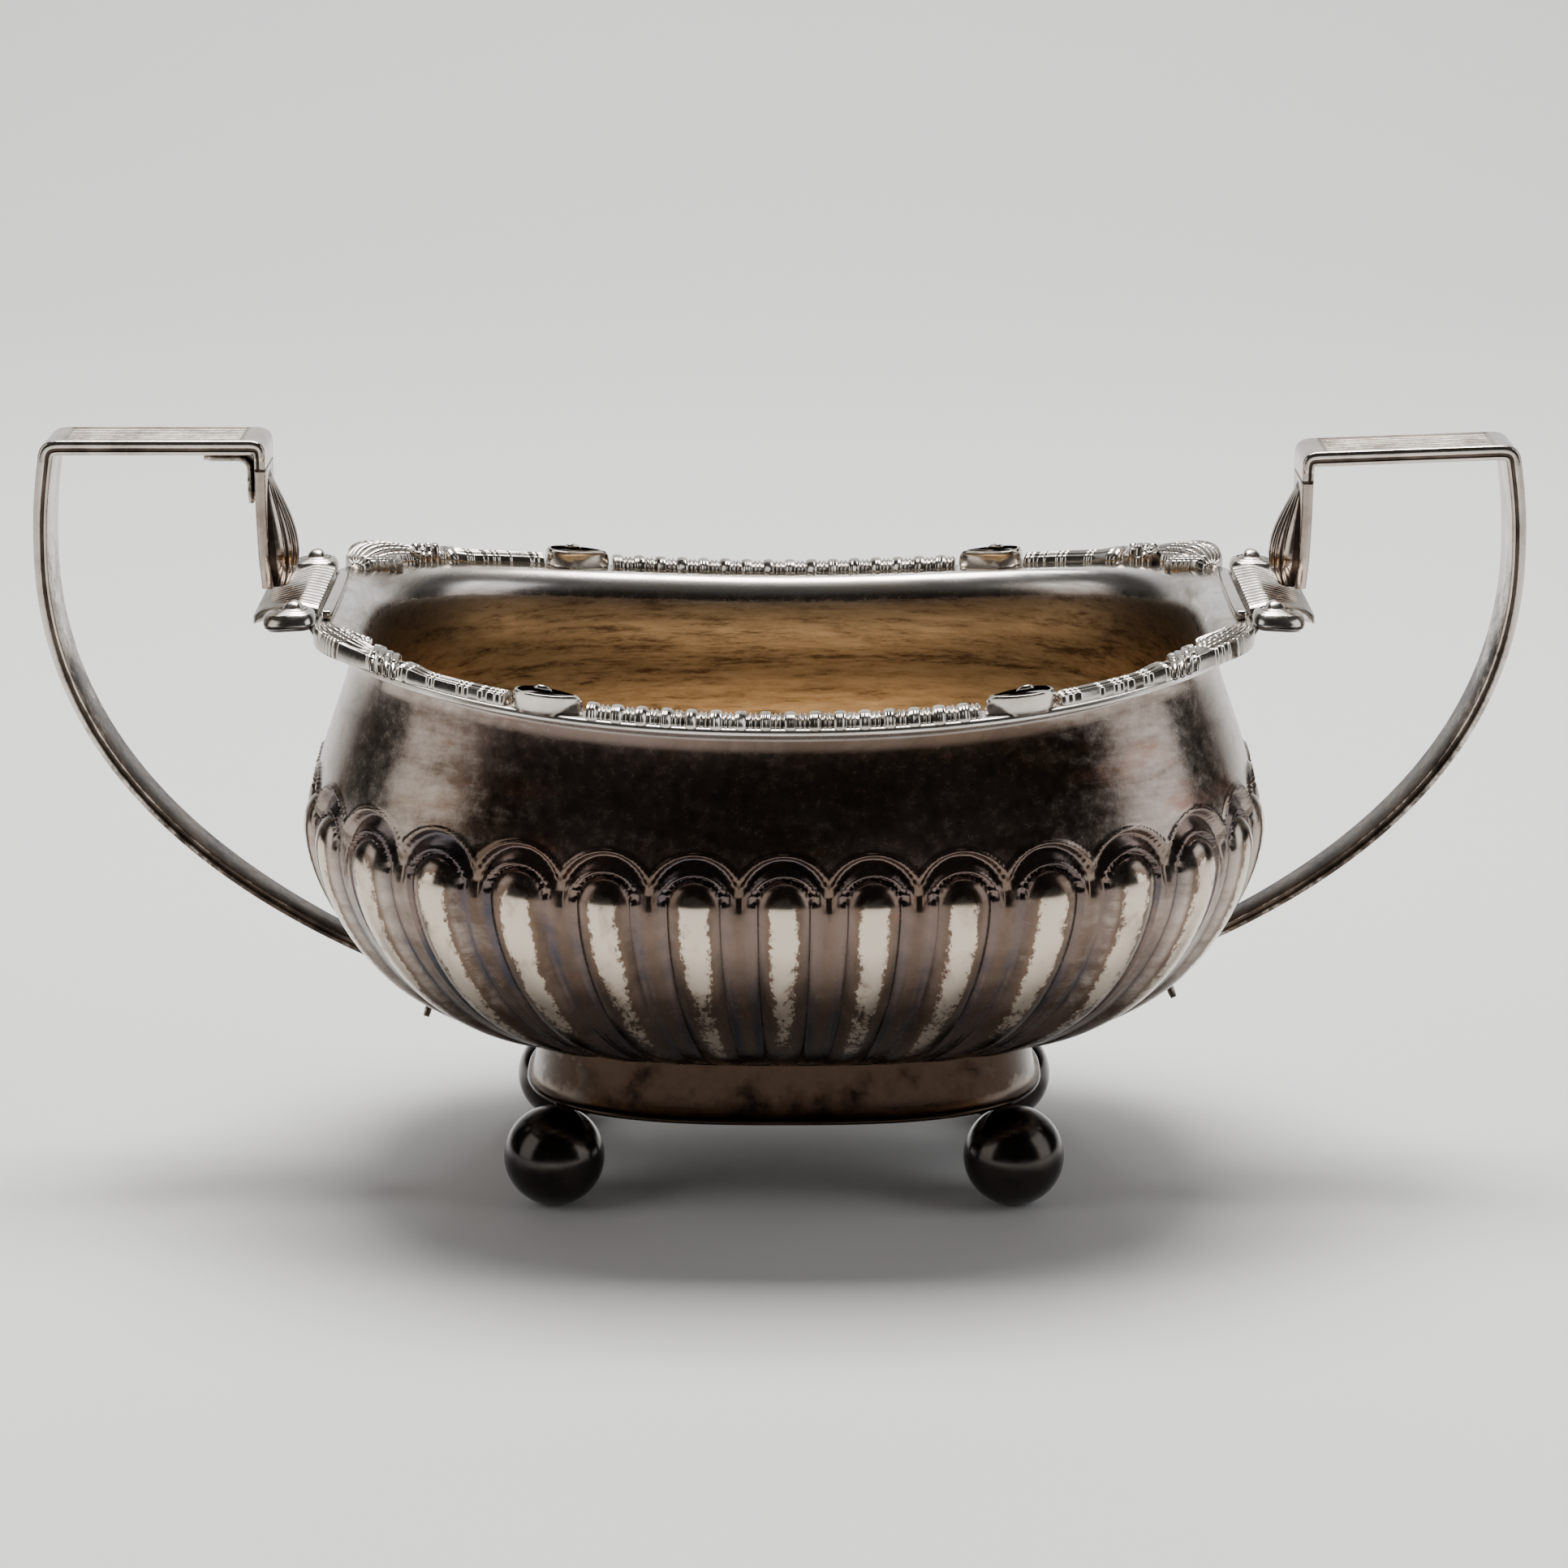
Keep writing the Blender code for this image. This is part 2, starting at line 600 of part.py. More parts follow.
def top_bar_centre(x, lean):
    """Height of the top bar's middle line at x."""
    share = (x - TOP_BAR_START) / (HANDLE_OUTER - TOP_BAR_START)
    drop = lean["inner_drop"] + (lean["outer_drop"] - lean["inner_drop"]) * share
    return HANDLE_TOP - HANDLE_THICKNESS / 2 - drop


def handle_path(lean):
    """The strap's middle line in X and Z, as (point, width, thickness) from the top bar to its foot."""
    bow = Vector((HANDLE_OUTER - lean["bow_in"], HANDLE_TOP - HANDLE_BOW_DROP))
    corner = Vector((bow.x - HANDLE_BOW_LEAN, top_bar_centre(HANDLE_OUTER, lean)))
    start = Vector((TOP_BAR_START, top_bar_centre(TOP_BAR_START, lean)))
    run_in = (start - corner).normalized()
    run_out = (bow - corner).normalized()
    points = [start, start.lerp(corner, 0.5)]
    for i in range(4):
        t = i / 3
        a = corner + run_in * HANDLE_CORNER_RADIUS
        b = corner + run_out * HANDLE_CORNER_RADIUS
        points.append(bezier(a, a.lerp(corner, 0.6), b.lerp(corner, 0.6), b, t))
    corner_end = len(points) - 1
    points.append(corner.lerp(bow, 0.5) + Vector((HANDLE_BOW_LEAN * 0.25, 0)))
    foot_height = HANDLE_FOOT_HEIGHT + lean["foot_lift"]
    seat = SOLDER_GAP + HANDLE_FOOT_THICKNESS / 2
    foot = beside_body(foot_height, SOLDER_GAP + HANDLE_LOW_THICKNESS / 2)
    drop = bow.y - foot.y
    reach = bow.x - foot.x
    pull_down = bow - Vector((0, drop * 0.47))
    pull_in = foot + Vector((reach * 0.56, drop * 0.207))
    for i in range(12):
        points.append(bezier(bow, pull_down, pull_in, foot, i / 12))
    run = [0.0] * (corner_end + 1)
    for before, after in zip(points[corner_end:], points[corner_end + 1:]):
        run.append(run[-1] + (after - before).length)
    stations = []
    for point, way in zip(points, run):
        share = way / run[-1]
        width = HANDLE_WIDTH + (HANDLE_LOW_WIDTH - HANDLE_WIDTH) * share
        thickness = HANDLE_THICKNESS + (HANDLE_LOW_THICKNESS - HANDLE_THICKNESS) * share
        stations.append((point, width, thickness))
    for i in range(3):
        t = (i + 1) / 3
        thickness = HANDLE_LOW_THICKNESS + (HANDLE_FOOT_THICKNESS - HANDLE_LOW_THICKNESS) * t
        height = foot_height - HANDLE_FOOT_RUN * (0.25 + 0.75 * t)
        stations.append((beside_body(height, SOLDER_GAP + thickness / 2), HANDLE_LOW_WIDTH, thickness))
    last = stations[-1][0]
    before = beside_body(foot_height - HANDLE_FOOT_RUN * 0.9, seat)
    heading = math.atan2(last.y - before.y, last.x - before.x)
    place = last
    for i in range(3):
        heading += math.radians(24)
        place = place + Vector((math.cos(heading), math.sin(heading))) * HANDLE_TIP_RADIUS * 0.42
        width = HANDLE_LOW_WIDTH + (HANDLE_TIP_WIDTH - HANDLE_LOW_WIDTH) * (i + 1) / 3
        stations.append((place, width, HANDLE_FOOT_THICKNESS * (1 - 0.12 * i)))
    return stations


STRAP_SECTION = (
    (-0.5, -0.3), (-0.5, 0.3), (-0.44, 0.5), (0.44, 0.5),
    (0.5, 0.3), (0.5, -0.3), (0.44, -0.5), (-0.44, -0.5),
)


def strap(stations, sx):
    """Sweeps the strap's section along a path that lies in the XZ plane."""
    rings = []
    for i, (point, width, thickness) in enumerate(stations):
        before = stations[max(0, i - 1)][0]
        after = stations[min(len(stations) - 1, i + 1)][0]
        into = (point - before).normalized() if i else (after - point).normalized()
        onward = (after - point).normalized() if i < len(stations) - 1 else into
        along = (into + onward).normalized()
        square = Vector((along.y, -along.x)) / max(0.5, along.dot(into))
        ring = []
        for across, up in STRAP_SECTION:
            spot = point + square * (up * thickness)
            ring.append((sx * spot.x, across * width, spot.y))
        rings.append(ring)
    return loft(rings)


def make_handle_strap(side, sx):
    add_object(f"handle_strap_{side}", strap(handle_path(HAND_SET[side]), sx), "handle")


def upright_outer(height, base, top):
    """The upright's outer face leans in a little towards its base."""
    share = (height - base) / (top - base)
    return UPRIGHT_OUTER - 0.5 * MM * (1 - share) ** 2


def upright_span(side):
    lean = HAND_SET[side]
    top = min(top_bar_centre(UPRIGHT_OUTER, lean), top_bar_centre(TOP_BAR_START, lean))
    top -= HANDLE_THICKNESS / 2 + SOLDER_GAP
    base = socket_top(UPRIGHT_OUTER - UPRIGHT_THICKNESS - UPRIGHT_LEAF_DEPTH) + SOLDER_GAP
    return base, top


def make_upright(side, sx):
    """The post between the socket plate and the top bar, with a reeded leaf swelling towards the bowl."""
    base, top = upright_span(side)
    rings = []
    count = 10
    for i in range(count + 1):
        t = i / count
        height = base + (top - base) * t
        swell = math.sin(math.pi * min(1.0, (0.12 + 0.88 * t) / 0.9) ** 0.75) if t < 0.9 else 0.0
        depth = UPRIGHT_LEAF_DEPTH * swell
        face = upright_outer(height, base, top)
        back = face - UPRIGHT_THICKNESS
        half = HANDLE_WIDTH / 2 * (0.8 + 0.2 * swell)
        section = [(face, -half), (face, half), (back, half)]
        for across in (0.6, 0.3, 0.0, -0.3, -0.6):
            section.append((back - 0.05 * MM - depth * math.cos(across * math.pi / 2), across * half))
        section.append((back, -half))
        rings.append([(sx * x, y, height) for x, y in section])
    add_object(f"handle_upright_{side}", loft(rings), "handle")


def make_repair_plate():
    """The thin plate lapped under the left handle's top bar and down its upright."""
    side = "left"
    base, top = upright_span(side)
    lean = HAND_SET[side]
    inner = SOLDER_GAP + REPAIR_THICKNESS / 2
    bend = 1.6 * MM
    down = upright_outer(top, base, top) + inner
    across = top_bar_centre(down, lean) - HANDLE_THICKNESS / 2 - inner
    corner = Vector((down, across))
    points = [corner + Vector((REPAIR_ARM, 0)), corner + Vector((bend, 0))]
    for i in range(1, 4):
        angle = math.radians(90 * i / 4)
        points.append(corner + Vector((bend * (1 - math.sin(angle)), -bend * (1 - math.cos(angle)))))
    points += [corner + Vector((0, -bend)), corner + Vector((0, -REPAIR_ARM))]
    stations = [(point, REPAIR_WIDTH, REPAIR_THICKNESS) for point in points]
    add_object(f"handle_repair_plate_{side}", strap(stations, SIDES[side]), "repair")


# Assembly

make_body()
make_foot_collar()
make_ball_feet()
make_gadroons()
for side_name, side_sign in SIDES.items():
    for face_name, face_sign in FACES.items():
        make_volutes(side_name, side_sign, face_name, face_sign)
        make_branches(side_name, side_sign, face_name, face_sign)
        make_corners(side_name, side_sign, face_name, face_sign)
        make_end_scrolls(side_name, side_sign, face_name, face_sign)
    make_end_bar(side_name, side_sign)
    make_socket_plate(side_name, side_sign)
    make_handle_strap(side_name, side_sign)
    make_upright(side_name, side_sign)
make_repair_plate()
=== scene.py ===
# Oblong silver sugar bowl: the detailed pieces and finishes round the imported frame.
# Metres, +Z up, long axis along X, front facing -Y, standing on Z = 0.
import math

import bmesh
import bpy
from mathutils import Matrix, Vector, noise


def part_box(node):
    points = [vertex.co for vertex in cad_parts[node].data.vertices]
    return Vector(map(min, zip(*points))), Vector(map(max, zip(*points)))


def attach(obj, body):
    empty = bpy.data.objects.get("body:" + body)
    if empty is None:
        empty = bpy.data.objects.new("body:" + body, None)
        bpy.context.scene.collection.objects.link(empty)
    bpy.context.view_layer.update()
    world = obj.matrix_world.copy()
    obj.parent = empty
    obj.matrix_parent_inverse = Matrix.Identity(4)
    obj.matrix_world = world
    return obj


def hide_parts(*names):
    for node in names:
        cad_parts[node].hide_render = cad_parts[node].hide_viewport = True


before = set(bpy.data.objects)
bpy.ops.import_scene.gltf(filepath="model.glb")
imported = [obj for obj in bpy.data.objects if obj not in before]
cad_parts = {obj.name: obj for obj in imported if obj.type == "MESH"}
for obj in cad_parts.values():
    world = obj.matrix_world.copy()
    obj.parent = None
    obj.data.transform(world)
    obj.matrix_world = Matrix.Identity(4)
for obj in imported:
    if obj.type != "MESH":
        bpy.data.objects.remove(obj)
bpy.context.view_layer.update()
mm = 0.001
sides = {"left": -1, "right": 1}
faces = {"front": -1, "back": 1}
footLow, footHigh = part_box("foot_collar")
print("frame loaded:", len(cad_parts), "nodes")


# Camera, lights and floor

camera = {"elevation": 15.0, "distance": 0.667, "aimHeight": 0.052, "lens": 107.63, "shiftUp": 0.01796}


def makeCamera(c):
    data = bpy.data.cameras.new("camera")
    data.lens = c["lens"]
    data.sensor_width = 36
    data.shift_y = c["shiftUp"]
    data.clip_start = 0.01
    thing = bpy.data.objects.new("camera", data)
    tilt = math.radians(c["elevation"])
    back = Vector((0, -math.cos(tilt), math.sin(tilt)))
    thing.location = Vector((0, 0, c["aimHeight"])) + back * c["distance"]
    thing.rotation_euler = (math.pi / 2 - tilt, 0, 0)
    bpy.context.scene.collection.objects.link(thing)
    bpy.context.scene.camera = thing


# name: place, aim, size across and up, power, colour
lamps = {
    "overhead": ((0.0, 0.14, 1.05), (0, 0.04, 0.0), (0.52, 0.40), 16.5, (1.0, 0.99, 0.97)),
    "backWash": ((0.0, 0.70, 1.75), (0, 1.35, 0.3), (1.6, 0.4), 20.0, (1.0, 1.0, 1.0)),
    "leftBox": ((-0.88, -0.36, 0.42), (0, 0, 0.06), (0.60, 0.85), 2.3, (1.0, 0.98, 0.95)),
    "rightBox": ((0.92, -0.24, 0.42), (0, 0, 0.06), (0.60, 0.85), 2.8, (0.97, 0.98, 1.0)),
}


def makeLamps():
    for name, (place, aim, size, power, colour) in lamps.items():
        data = bpy.data.lights.new(name, "AREA")
        data.shape = "RECTANGLE"
        data.size, data.size_y = size
        data.energy = power
        data.color = colour
        thing = bpy.data.objects.new(name, data)
        thing.location = place
        thing.rotation_euler = (Vector(aim) - Vector(place)).to_track_quat("-Z", "Y").to_euler()
        bpy.context.scene.collection.objects.link(thing)


studio = {
    "air": (0.035, 0.034, 0.033), "airPower": 1.0, "floor": (0.83, 0.83, 0.825), "floorRough": 0.9,
    "width": 3.2, "front": -0.75, "bendStart": 0.75, "bendRadius": 0.6, "height": 1.2,
}


def makeStudio(s):
    world = bpy.data.worlds.new("studio")
    world.use_nodes = True
    world.node_tree.nodes["Background"].inputs["Color"].default_value = (*s["air"], 1)
    world.node_tree.nodes["Background"].inputs["Strength"].default_value = s["airPower"]
    bpy.context.scene.world = world
    form = bmesh.new()
    line = [Vector((-s["width"] / 2, s["front"], 0))]
    steps = 16
    for i in range(steps + 1):
        turn = math.pi / 2 * i / steps
        line.append(Vector((-s["width"] / 2, s["bendStart"] + s["bendRadius"] * math.sin(turn),
                            s["bendRadius"] * (1 - math.cos(turn)))))
    line.append(line[-1] + Vector((0, 0, s["height"])))
    dots = [form.verts.new(p) for p in line]
    edges = [form.edges.new(pair) for pair in zip(dots, dots[1:])]
    grown = bmesh.ops.extrude_edge_only(form, edges=edges)["geom"]
    moved = [g for g in grown if isinstance(g, bmesh.types.BMVert)]
    bmesh.ops.translate(form, verts=moved, vec=(s["width"], 0, 0))
    floor = meshObject("studioFloor", form)
    paint = bpy.data.materials.new("palePaper")
    paint.use_nodes = True
    shader = paint.node_tree.nodes["Principled BSDF"]
    shader.inputs["Base Color"].default_value = (*s["floor"], 1)
    shader.inputs["Roughness"].default_value = s["floorRough"]
    floor.data.materials.append(paint)


# Mesh helpers

def meshObject(name, form, sharp=None):
    mesh = bpy.data.meshes.new(name)
    bmesh.ops.recalc_face_normals(form, faces=form.faces[:])
    form.to_mesh(mesh)
    form.free()
    mesh.shade_smooth()
    if sharp:
        mesh.set_sharp_from_angle(angle=math.radians(sharp))
    thing = bpy.data.objects.new(name, mesh)
    bpy.context.scene.collection.objects.link(thing)
    return thing


# Marks each point by how far it stands out from its neighbours: 1 on a ridge, 0 in a hollow
def markWear(form, passes=2):
    form.normal_update()
    worn = form.verts.layers.float.new("worn")
    around = {dot: [e.other_vert(dot) for e in dot.link_edges] for dot in form.verts}
    for dot, near in around.items():
        if near:
            middle = sum((n.co for n in near), Vector()) / len(near)
            reach = sum((n.co - dot.co).length for n in near) / len(near)
            dot[worn] = min(1.0, max(0.0, 0.5 + 1.6 * (dot.co - middle).dot(dot.normal) / max(reach, 1e-9)))
    for _ in range(passes):
        soft = {dot: 0.5 * dot[worn] + 0.5 * sum(n[worn] for n in near) / max(1, len(near))
                for dot, near in around.items()}
        for dot, value in soft.items():
            dot[worn] = value


# Makes the form a piece of the one body, in its finish
def finishPiece(name, form, finish, stands, sharp=None):
    bmesh.ops.recalc_face_normals(form, faces=form.faces[:])
    if "worn" not in form.verts.layers.float:
        markWear(form)
    piece = meshObject(name, form, sharp)
    piece.data.materials.append(finish)
    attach(piece, "root")
    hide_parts(*stands)
    return piece


# A solid through rings of the same number of points: the first ring's face is extruded to each next one
def sweep(form, rings):
    worn = form.verts.layers.float.get("worn")
    face = form.faces.new([form.verts.new(p[:3]) for p in rings[0]])
    for ring in rings[1:]:
        grown = bmesh.ops.extrude_face_region(form, geom=[face])["geom"]
        face = next(g for g in grown if isinstance(g, bmesh.types.BMFace))
        for corner, place in zip(face.verts, ring):
            corner.co = place[:3]
            if worn:
                corner[worn] = place[3]


# A round or flattened rod along points, with small round ends
def tube(form, points, radii, count=8, flat=1.0, up=Vector((0, 0, 1))):
    rings = []
    last = len(points) - 1
    for i, point in enumerate(points):
        along = (points[min(last, i + 1)] - points[max(0, i - 1)]).normalized()
        across = along.cross(up).normalized()
        lift = across.cross(along)
        radius = radii[i] if isinstance(radii, (list, tuple)) else radii
        if i in (0, last):
            ends = ((0.35, -0.85), (0.75, -0.55)) if i == 0 else ((0.75, 0.55), (0.35, 0.85))
            steps = [(size, shift) for size, shift in ends]
            steps = steps + [(1.0, 0.0)] if i == 0 else [(1.0, 0.0)] + steps
        else:
            steps = [(1.0, 0.0)]
        for size, shift in steps:
            ring = []
            for k in range(count):
                turn = 2 * math.pi * k / count
                spot = across * math.cos(turn) * radius * size + lift * math.sin(turn) * radius * size * flat
                ring.append(point + spot + along * shift * radius)
            rings.append(ring)
    sweep(form, rings)


# Plan outlines, as on the frame

bowl = {
    "bellyLength": 132.8 * mm, "bellyWidth": 96.6 * mm, "neckLength": 120.2 * mm, "neckWidth": 88.6 * mm,
    "bellyHeight": 51.0 * mm, "neckHeight": 73.4 * mm, "planPower": 2.75, "roundness": 1.66,
    "sheet": 1.0 * mm,
    "rimLength": 133.0 * mm, "rimWidth": 100.6 * mm, "rimHeight": 76.6 * mm, "rimRise": 7.0 * mm,
    "rimEdge": 1.0 * mm, "borderWidth": 4.2 * mm, "footPower": 2.65, "seamHeight": footHigh.z + 0.3 * mm,
    "flutes": 32, "columns": 24,
}
footLength = 72.4 * mm
footWidth = 49.2 * mm


# Evenly spaced points from the middle of the long side round to the end
def quarterOutline(halfLength, halfWidth, power, steps, fine=700):
    dots = []
    for i in range(fine + 1):
        turn = math.pi / 2 * i / fine
        y = halfWidth * math.cos(turn) ** (2 / power) if i < fine else 0.0
        dots.append(Vector((halfLength * math.sin(turn) ** (2 / power), y)))
    run = [0.0]
    for before, after in zip(dots, dots[1:]):
        run.append(run[-1] + (after - before).length)
    found = []
    k = 0
    for step in range(steps + 1):
        target = run[-1] * step / steps
        while k < fine - 1 and run[k + 1] < target:
            k += 1
        found.append(dots[k].lerp(dots[k + 1], min(1.0, (target - run[k]) / (run[k + 1] - run[k]))))
    return found


# Evenly spaced points all the way round, anticlockwise from the +X end
def wholeOutline(halfLength, halfWidth, power, count):
    steps = count // 4
    quarter = quarterOutline(halfLength, halfWidth, power, steps)[::-1]
    ring = [p.copy() for p in quarter[:steps]]
    ring += [Vector((-p.x, p.y)) for p in quarter[:0:-1]]
    ring += [Vector((-p.x, -p.y)) for p in quarter[:steps]]
    ring += [Vector((p.x, -p.y)) for p in quarter[:0:-1]]
    return ring


def outlineNormal(point, halfLength, halfWidth, power):
    x = math.copysign((abs(point.x) / halfLength) ** (power - 1) / halfLength, point.x)
    y = math.copysign((abs(point.y) / halfWidth) ** (power - 1) / halfWidth, point.y)
    return Vector((x, y)).normalized()


def saddle(x):
    half = bowl["rimLength"] / 2
    return bowl["rimRise"] * (min(abs(x), half) / half) ** 2


def bodyHalf(belly, neck, foot, height):
    b = bowl
    if height <= b["bellyHeight"]:
        down = min(1.0, (b["bellyHeight"] - height) / (b["bellyHeight"] - b["seamHeight"]))
        return foot / 2 + (belly - foot) / 2 * (1 - down ** b["roundness"]) ** (1 / b["roundness"])
    up = min(1.0, (height - b["bellyHeight"]) / (b["neckHeight"] - b["bellyHeight"]))
    return neck / 2 + (belly - neck) / 2 * math.cos(math.pi / 2 * up) ** 1.5


def riseShare(height):
    share = (height - bowl["seamHeight"]) / (bowl["neckHeight"] - bowl["seamHeight"])
    return min(1.0, max(0.0, share)) ** 2


def planPower(height):
    share = (height - bowl["seamHeight"]) / (bowl["bellyHeight"] - bowl["seamHeight"])
    return bowl["footPower"] + (bowl["planPower"] - bowl["footPower"]) * min(1.0, 3 * max(0.0, share))


def smooth(low, high, x):
    t = min(1.0, max(0.0, (x - low) / (high - low)))
    return t * t * (3 - 2 * t)


# Flutes: a round-topped tongue in each pitch with a fine line round it, and a scalloped line over them

flute = {
    "pitch": 12.0 * mm, "archTop": 58.5 * mm, "archSag": 4.2 * mm, "lineHalf": 0.5 * mm, "lineOut": 0.55 * mm,
    "cove": 0.95 * mm, "coveWide": 1.9 * mm, "spandrel": 0.15 * mm,
    "tongueHalf": 4.05 * mm, "tongueTop": 55.4 * mm, "tongueOut": 1.25 * mm, "groove": 1.05 * mm,
    "ringOff": 0.56 * mm, "ringHalf": 0.34 * mm, "ringOut": 0.34 * mm, "fade": 9 * mm, "fadeLeast": 0.55,
}


# How far the surface stands out, how bright it is worn, and how deep in shadow, at a place in a pitch
def fluteRelief(across, height):
    f = flute
    x = abs(across) * f["pitch"]
    half = f["pitch"] / 2
    radius = (half * half + f["archSag"] ** 2) / (2 * f["archSag"])
    arch = f["archTop"] - radius + math.sqrt(max(0.0, radius * radius - x * x))
    slope = math.sqrt(max(0.15, 1 - (x / radius) ** 2))
    off = (height - arch) * slope
    line = max(0.0, 1 - (off / f["lineHalf"]) ** 2) ** 0.6
    inside = 1 - smooth(-f["lineHalf"] * 0.9, f["lineHalf"] * 0.5, off)
    cove = inside * smooth(-f["coveWide"] * 1.5, -f["coveWide"] * 0.2, off)
    centre = f["tongueTop"] - f["tongueHalf"]
    reach = x if height <= centre else math.hypot(x, height - centre)
    tongue = math.sqrt(max(0.0, 1 - (reach / f["tongueHalf"]) ** 2))
    past = reach - f["tongueHalf"]
    ditch = max(0.0, 1 - (past / (0.35 * mm)) ** 2) if past > 0 else 0.0
    ring = max(0.0, 1 - ((past - f["ringOff"]) / f["ringHalf"]) ** 2) ** 0.6 * inside
    swell = 1 - smooth(0.7 * mm, 1.5 * mm, half - x)
    field = inside * (f["spandrel"] * smooth(0.4 * mm, 1.2 * mm, past) * (0.5 + swell)) - f["cove"] * cove
    low = -f["groove"] * inside
    beyond = smooth(0.0, 0.5 * mm, past)
    out = low * (1 - beyond) + (field - 0.35 * mm * inside) * beyond
    out += tongue * (f["groove"] + f["tongueOut"]) - ditch * 0.3 * mm + ring * f["ringOut"]
    strength = min(1.0, f["fadeLeast"] + (1 - f["fadeLeast"]) * (height - bowl["seamHeight"]) / f["fade"])
    core = 1 - smooth(0.10, 0.86, reach / f["tongueHalf"])
    lowDown = smooth(26 * mm, 46 * mm, height)
    worn = core * (0.50 + 0.46 * lowDown)
    worn = max(worn, 0.30 * ring, 0.25 * line, 0.24 * inside * swell)
    shadow = inside * smooth(0.80, 1.0, reach / f["tongueHalf"]) * (1 - 0.9 * swell)
    return out * strength + line * f["lineOut"], worn, shadow


# Each row of the body's skin: kind, height, half length, half width, how much relief, and how gilt
def bodyRows():
    b = bowl
    rows = []

    def outside(height):
        long = bodyHalf(b["bellyLength"], b["neckLength"], footLength, height)
        wide = bodyHalf(b["bellyWidth"], b["neckWidth"], footWidth, height)
        rows.append(("outside", height, long, wide, planPower(height), None, 0.0))

    seam = b["seamHeight"]
    rows.append(("under", seam, footLength * 0.02, footWidth * 0.02, b["footPower"], 0.0, 0.0))
    rows.append(("under", seam, footLength * 0.44, footWidth * 0.44, b["footPower"], 0.0, 0.0))
    lowRows, archRows, highRows = 22, 40, 8
    archStart, archEnd = 50.6 * mm, 59.6 * mm
    for i in range(lowRows):
        outside(seam + (archStart - seam) * (i / lowRows) ** 1.35)
    for i in range(archRows):
        outside(archStart + (archEnd - archStart) * i / archRows)
    for i in range(highRows + 1):
        outside(archEnd + (b["neckHeight"] - archEnd) * i / highRows)
    flareLong = (b["rimLength"] - b["neckLength"]) / 2
    flareWide = (b["rimWidth"] - b["neckWidth"]) / 2
    under = b["rimHeight"] - b["rimEdge"]
    for i in range(1, 7):
        turn = math.pi / 2 * i / 7
        height = b["neckHeight"] + (under - 0.5 * mm - b["neckHeight"]) * math.sin(turn)
        out = 1 - math.cos(turn)
        rows.append(("rim", height, b["neckLength"] / 2 + (flareLong - 0.9 * mm) * out,
                     b["neckWidth"] / 2 + (flareWide - 0.9 * mm) * out, b["planPower"], 1.0, 0.0))
    # the plate's thin rounded edge, then the border's seat and the inner flange
    lip = [(-0.55, -0.12), (-0.2, 0.0), (0.0, 0.25), (0.0, 0.6), (-0.15, 0.85), (-0.4, 1.0)]
    for out, up in lip:
        rows.append(("rim", under + up * mm, b["rimLength"] / 2 + out * mm, b["rimWidth"] / 2 + out * mm,
                     b["planPower"], 1.0, 0.0))
    seat = b["borderWidth"] + 0.25 * mm
    innerLong, innerWide = b["neckLength"] / 2 - 2.0 * mm, b["neckWidth"] / 2 - 1.3 * mm
    startLong, startWide = b["rimLength"] / 2 - seat, b["rimWidth"] / 2 - seat
    rows.append(("rim", b["rimHeight"], startLong + 0.2 * mm, startWide + 0.2 * mm, b["planPower"], 1.0, 0.0))
    neckInside = b["neckHeight"] - 1.2 * mm
    for i in range(1, 9):
        turn = math.pi / 2 * i / 8
        height = b["rimHeight"] - (b["rimHeight"] - neckInside) * (1 - math.cos(turn)) ** 0.9
        rows.append(("rim", height, startLong + (innerLong - startLong) * math.sin(turn),
                     startWide + (innerWide - startWide) * math.sin(turn), b["planPower"], 1.0,
                     smooth(0.72, 1.0, i / 8)))
    for i in range(1, 15):
        height = neckInside + (seam + 3.2 * mm - neckInside) * (i / 14)
        wall = b["sheet"] + 0.9 * mm * smooth(62 * mm, 54 * mm, height)
        long = bodyHalf(b["bellyLength"], b["neckLength"], footLength, height) - wall
        wide = bodyHalf(b["bellyWidth"], b["neckWidth"], footWidth, height) - wall
        blendIn = smooth(0.0, 0.35, i / 14)
        rows.append(("inside", height, innerLong + (long - innerLong) * blendIn,
                     innerWide + (wide - innerWide) * blendIn, planPower(height), None, 1.0))
    floor = seam + 1.4 * mm
    for size, height in ((0.95, floor + 0.6 * mm), (0.80, floor), (0.45, floor), (0.02, floor)):
        rows.append(("inside", height, footLength / 2 * size, footWidth / 2 * size, b["footPower"], 0.0, 1.0))
    return rows


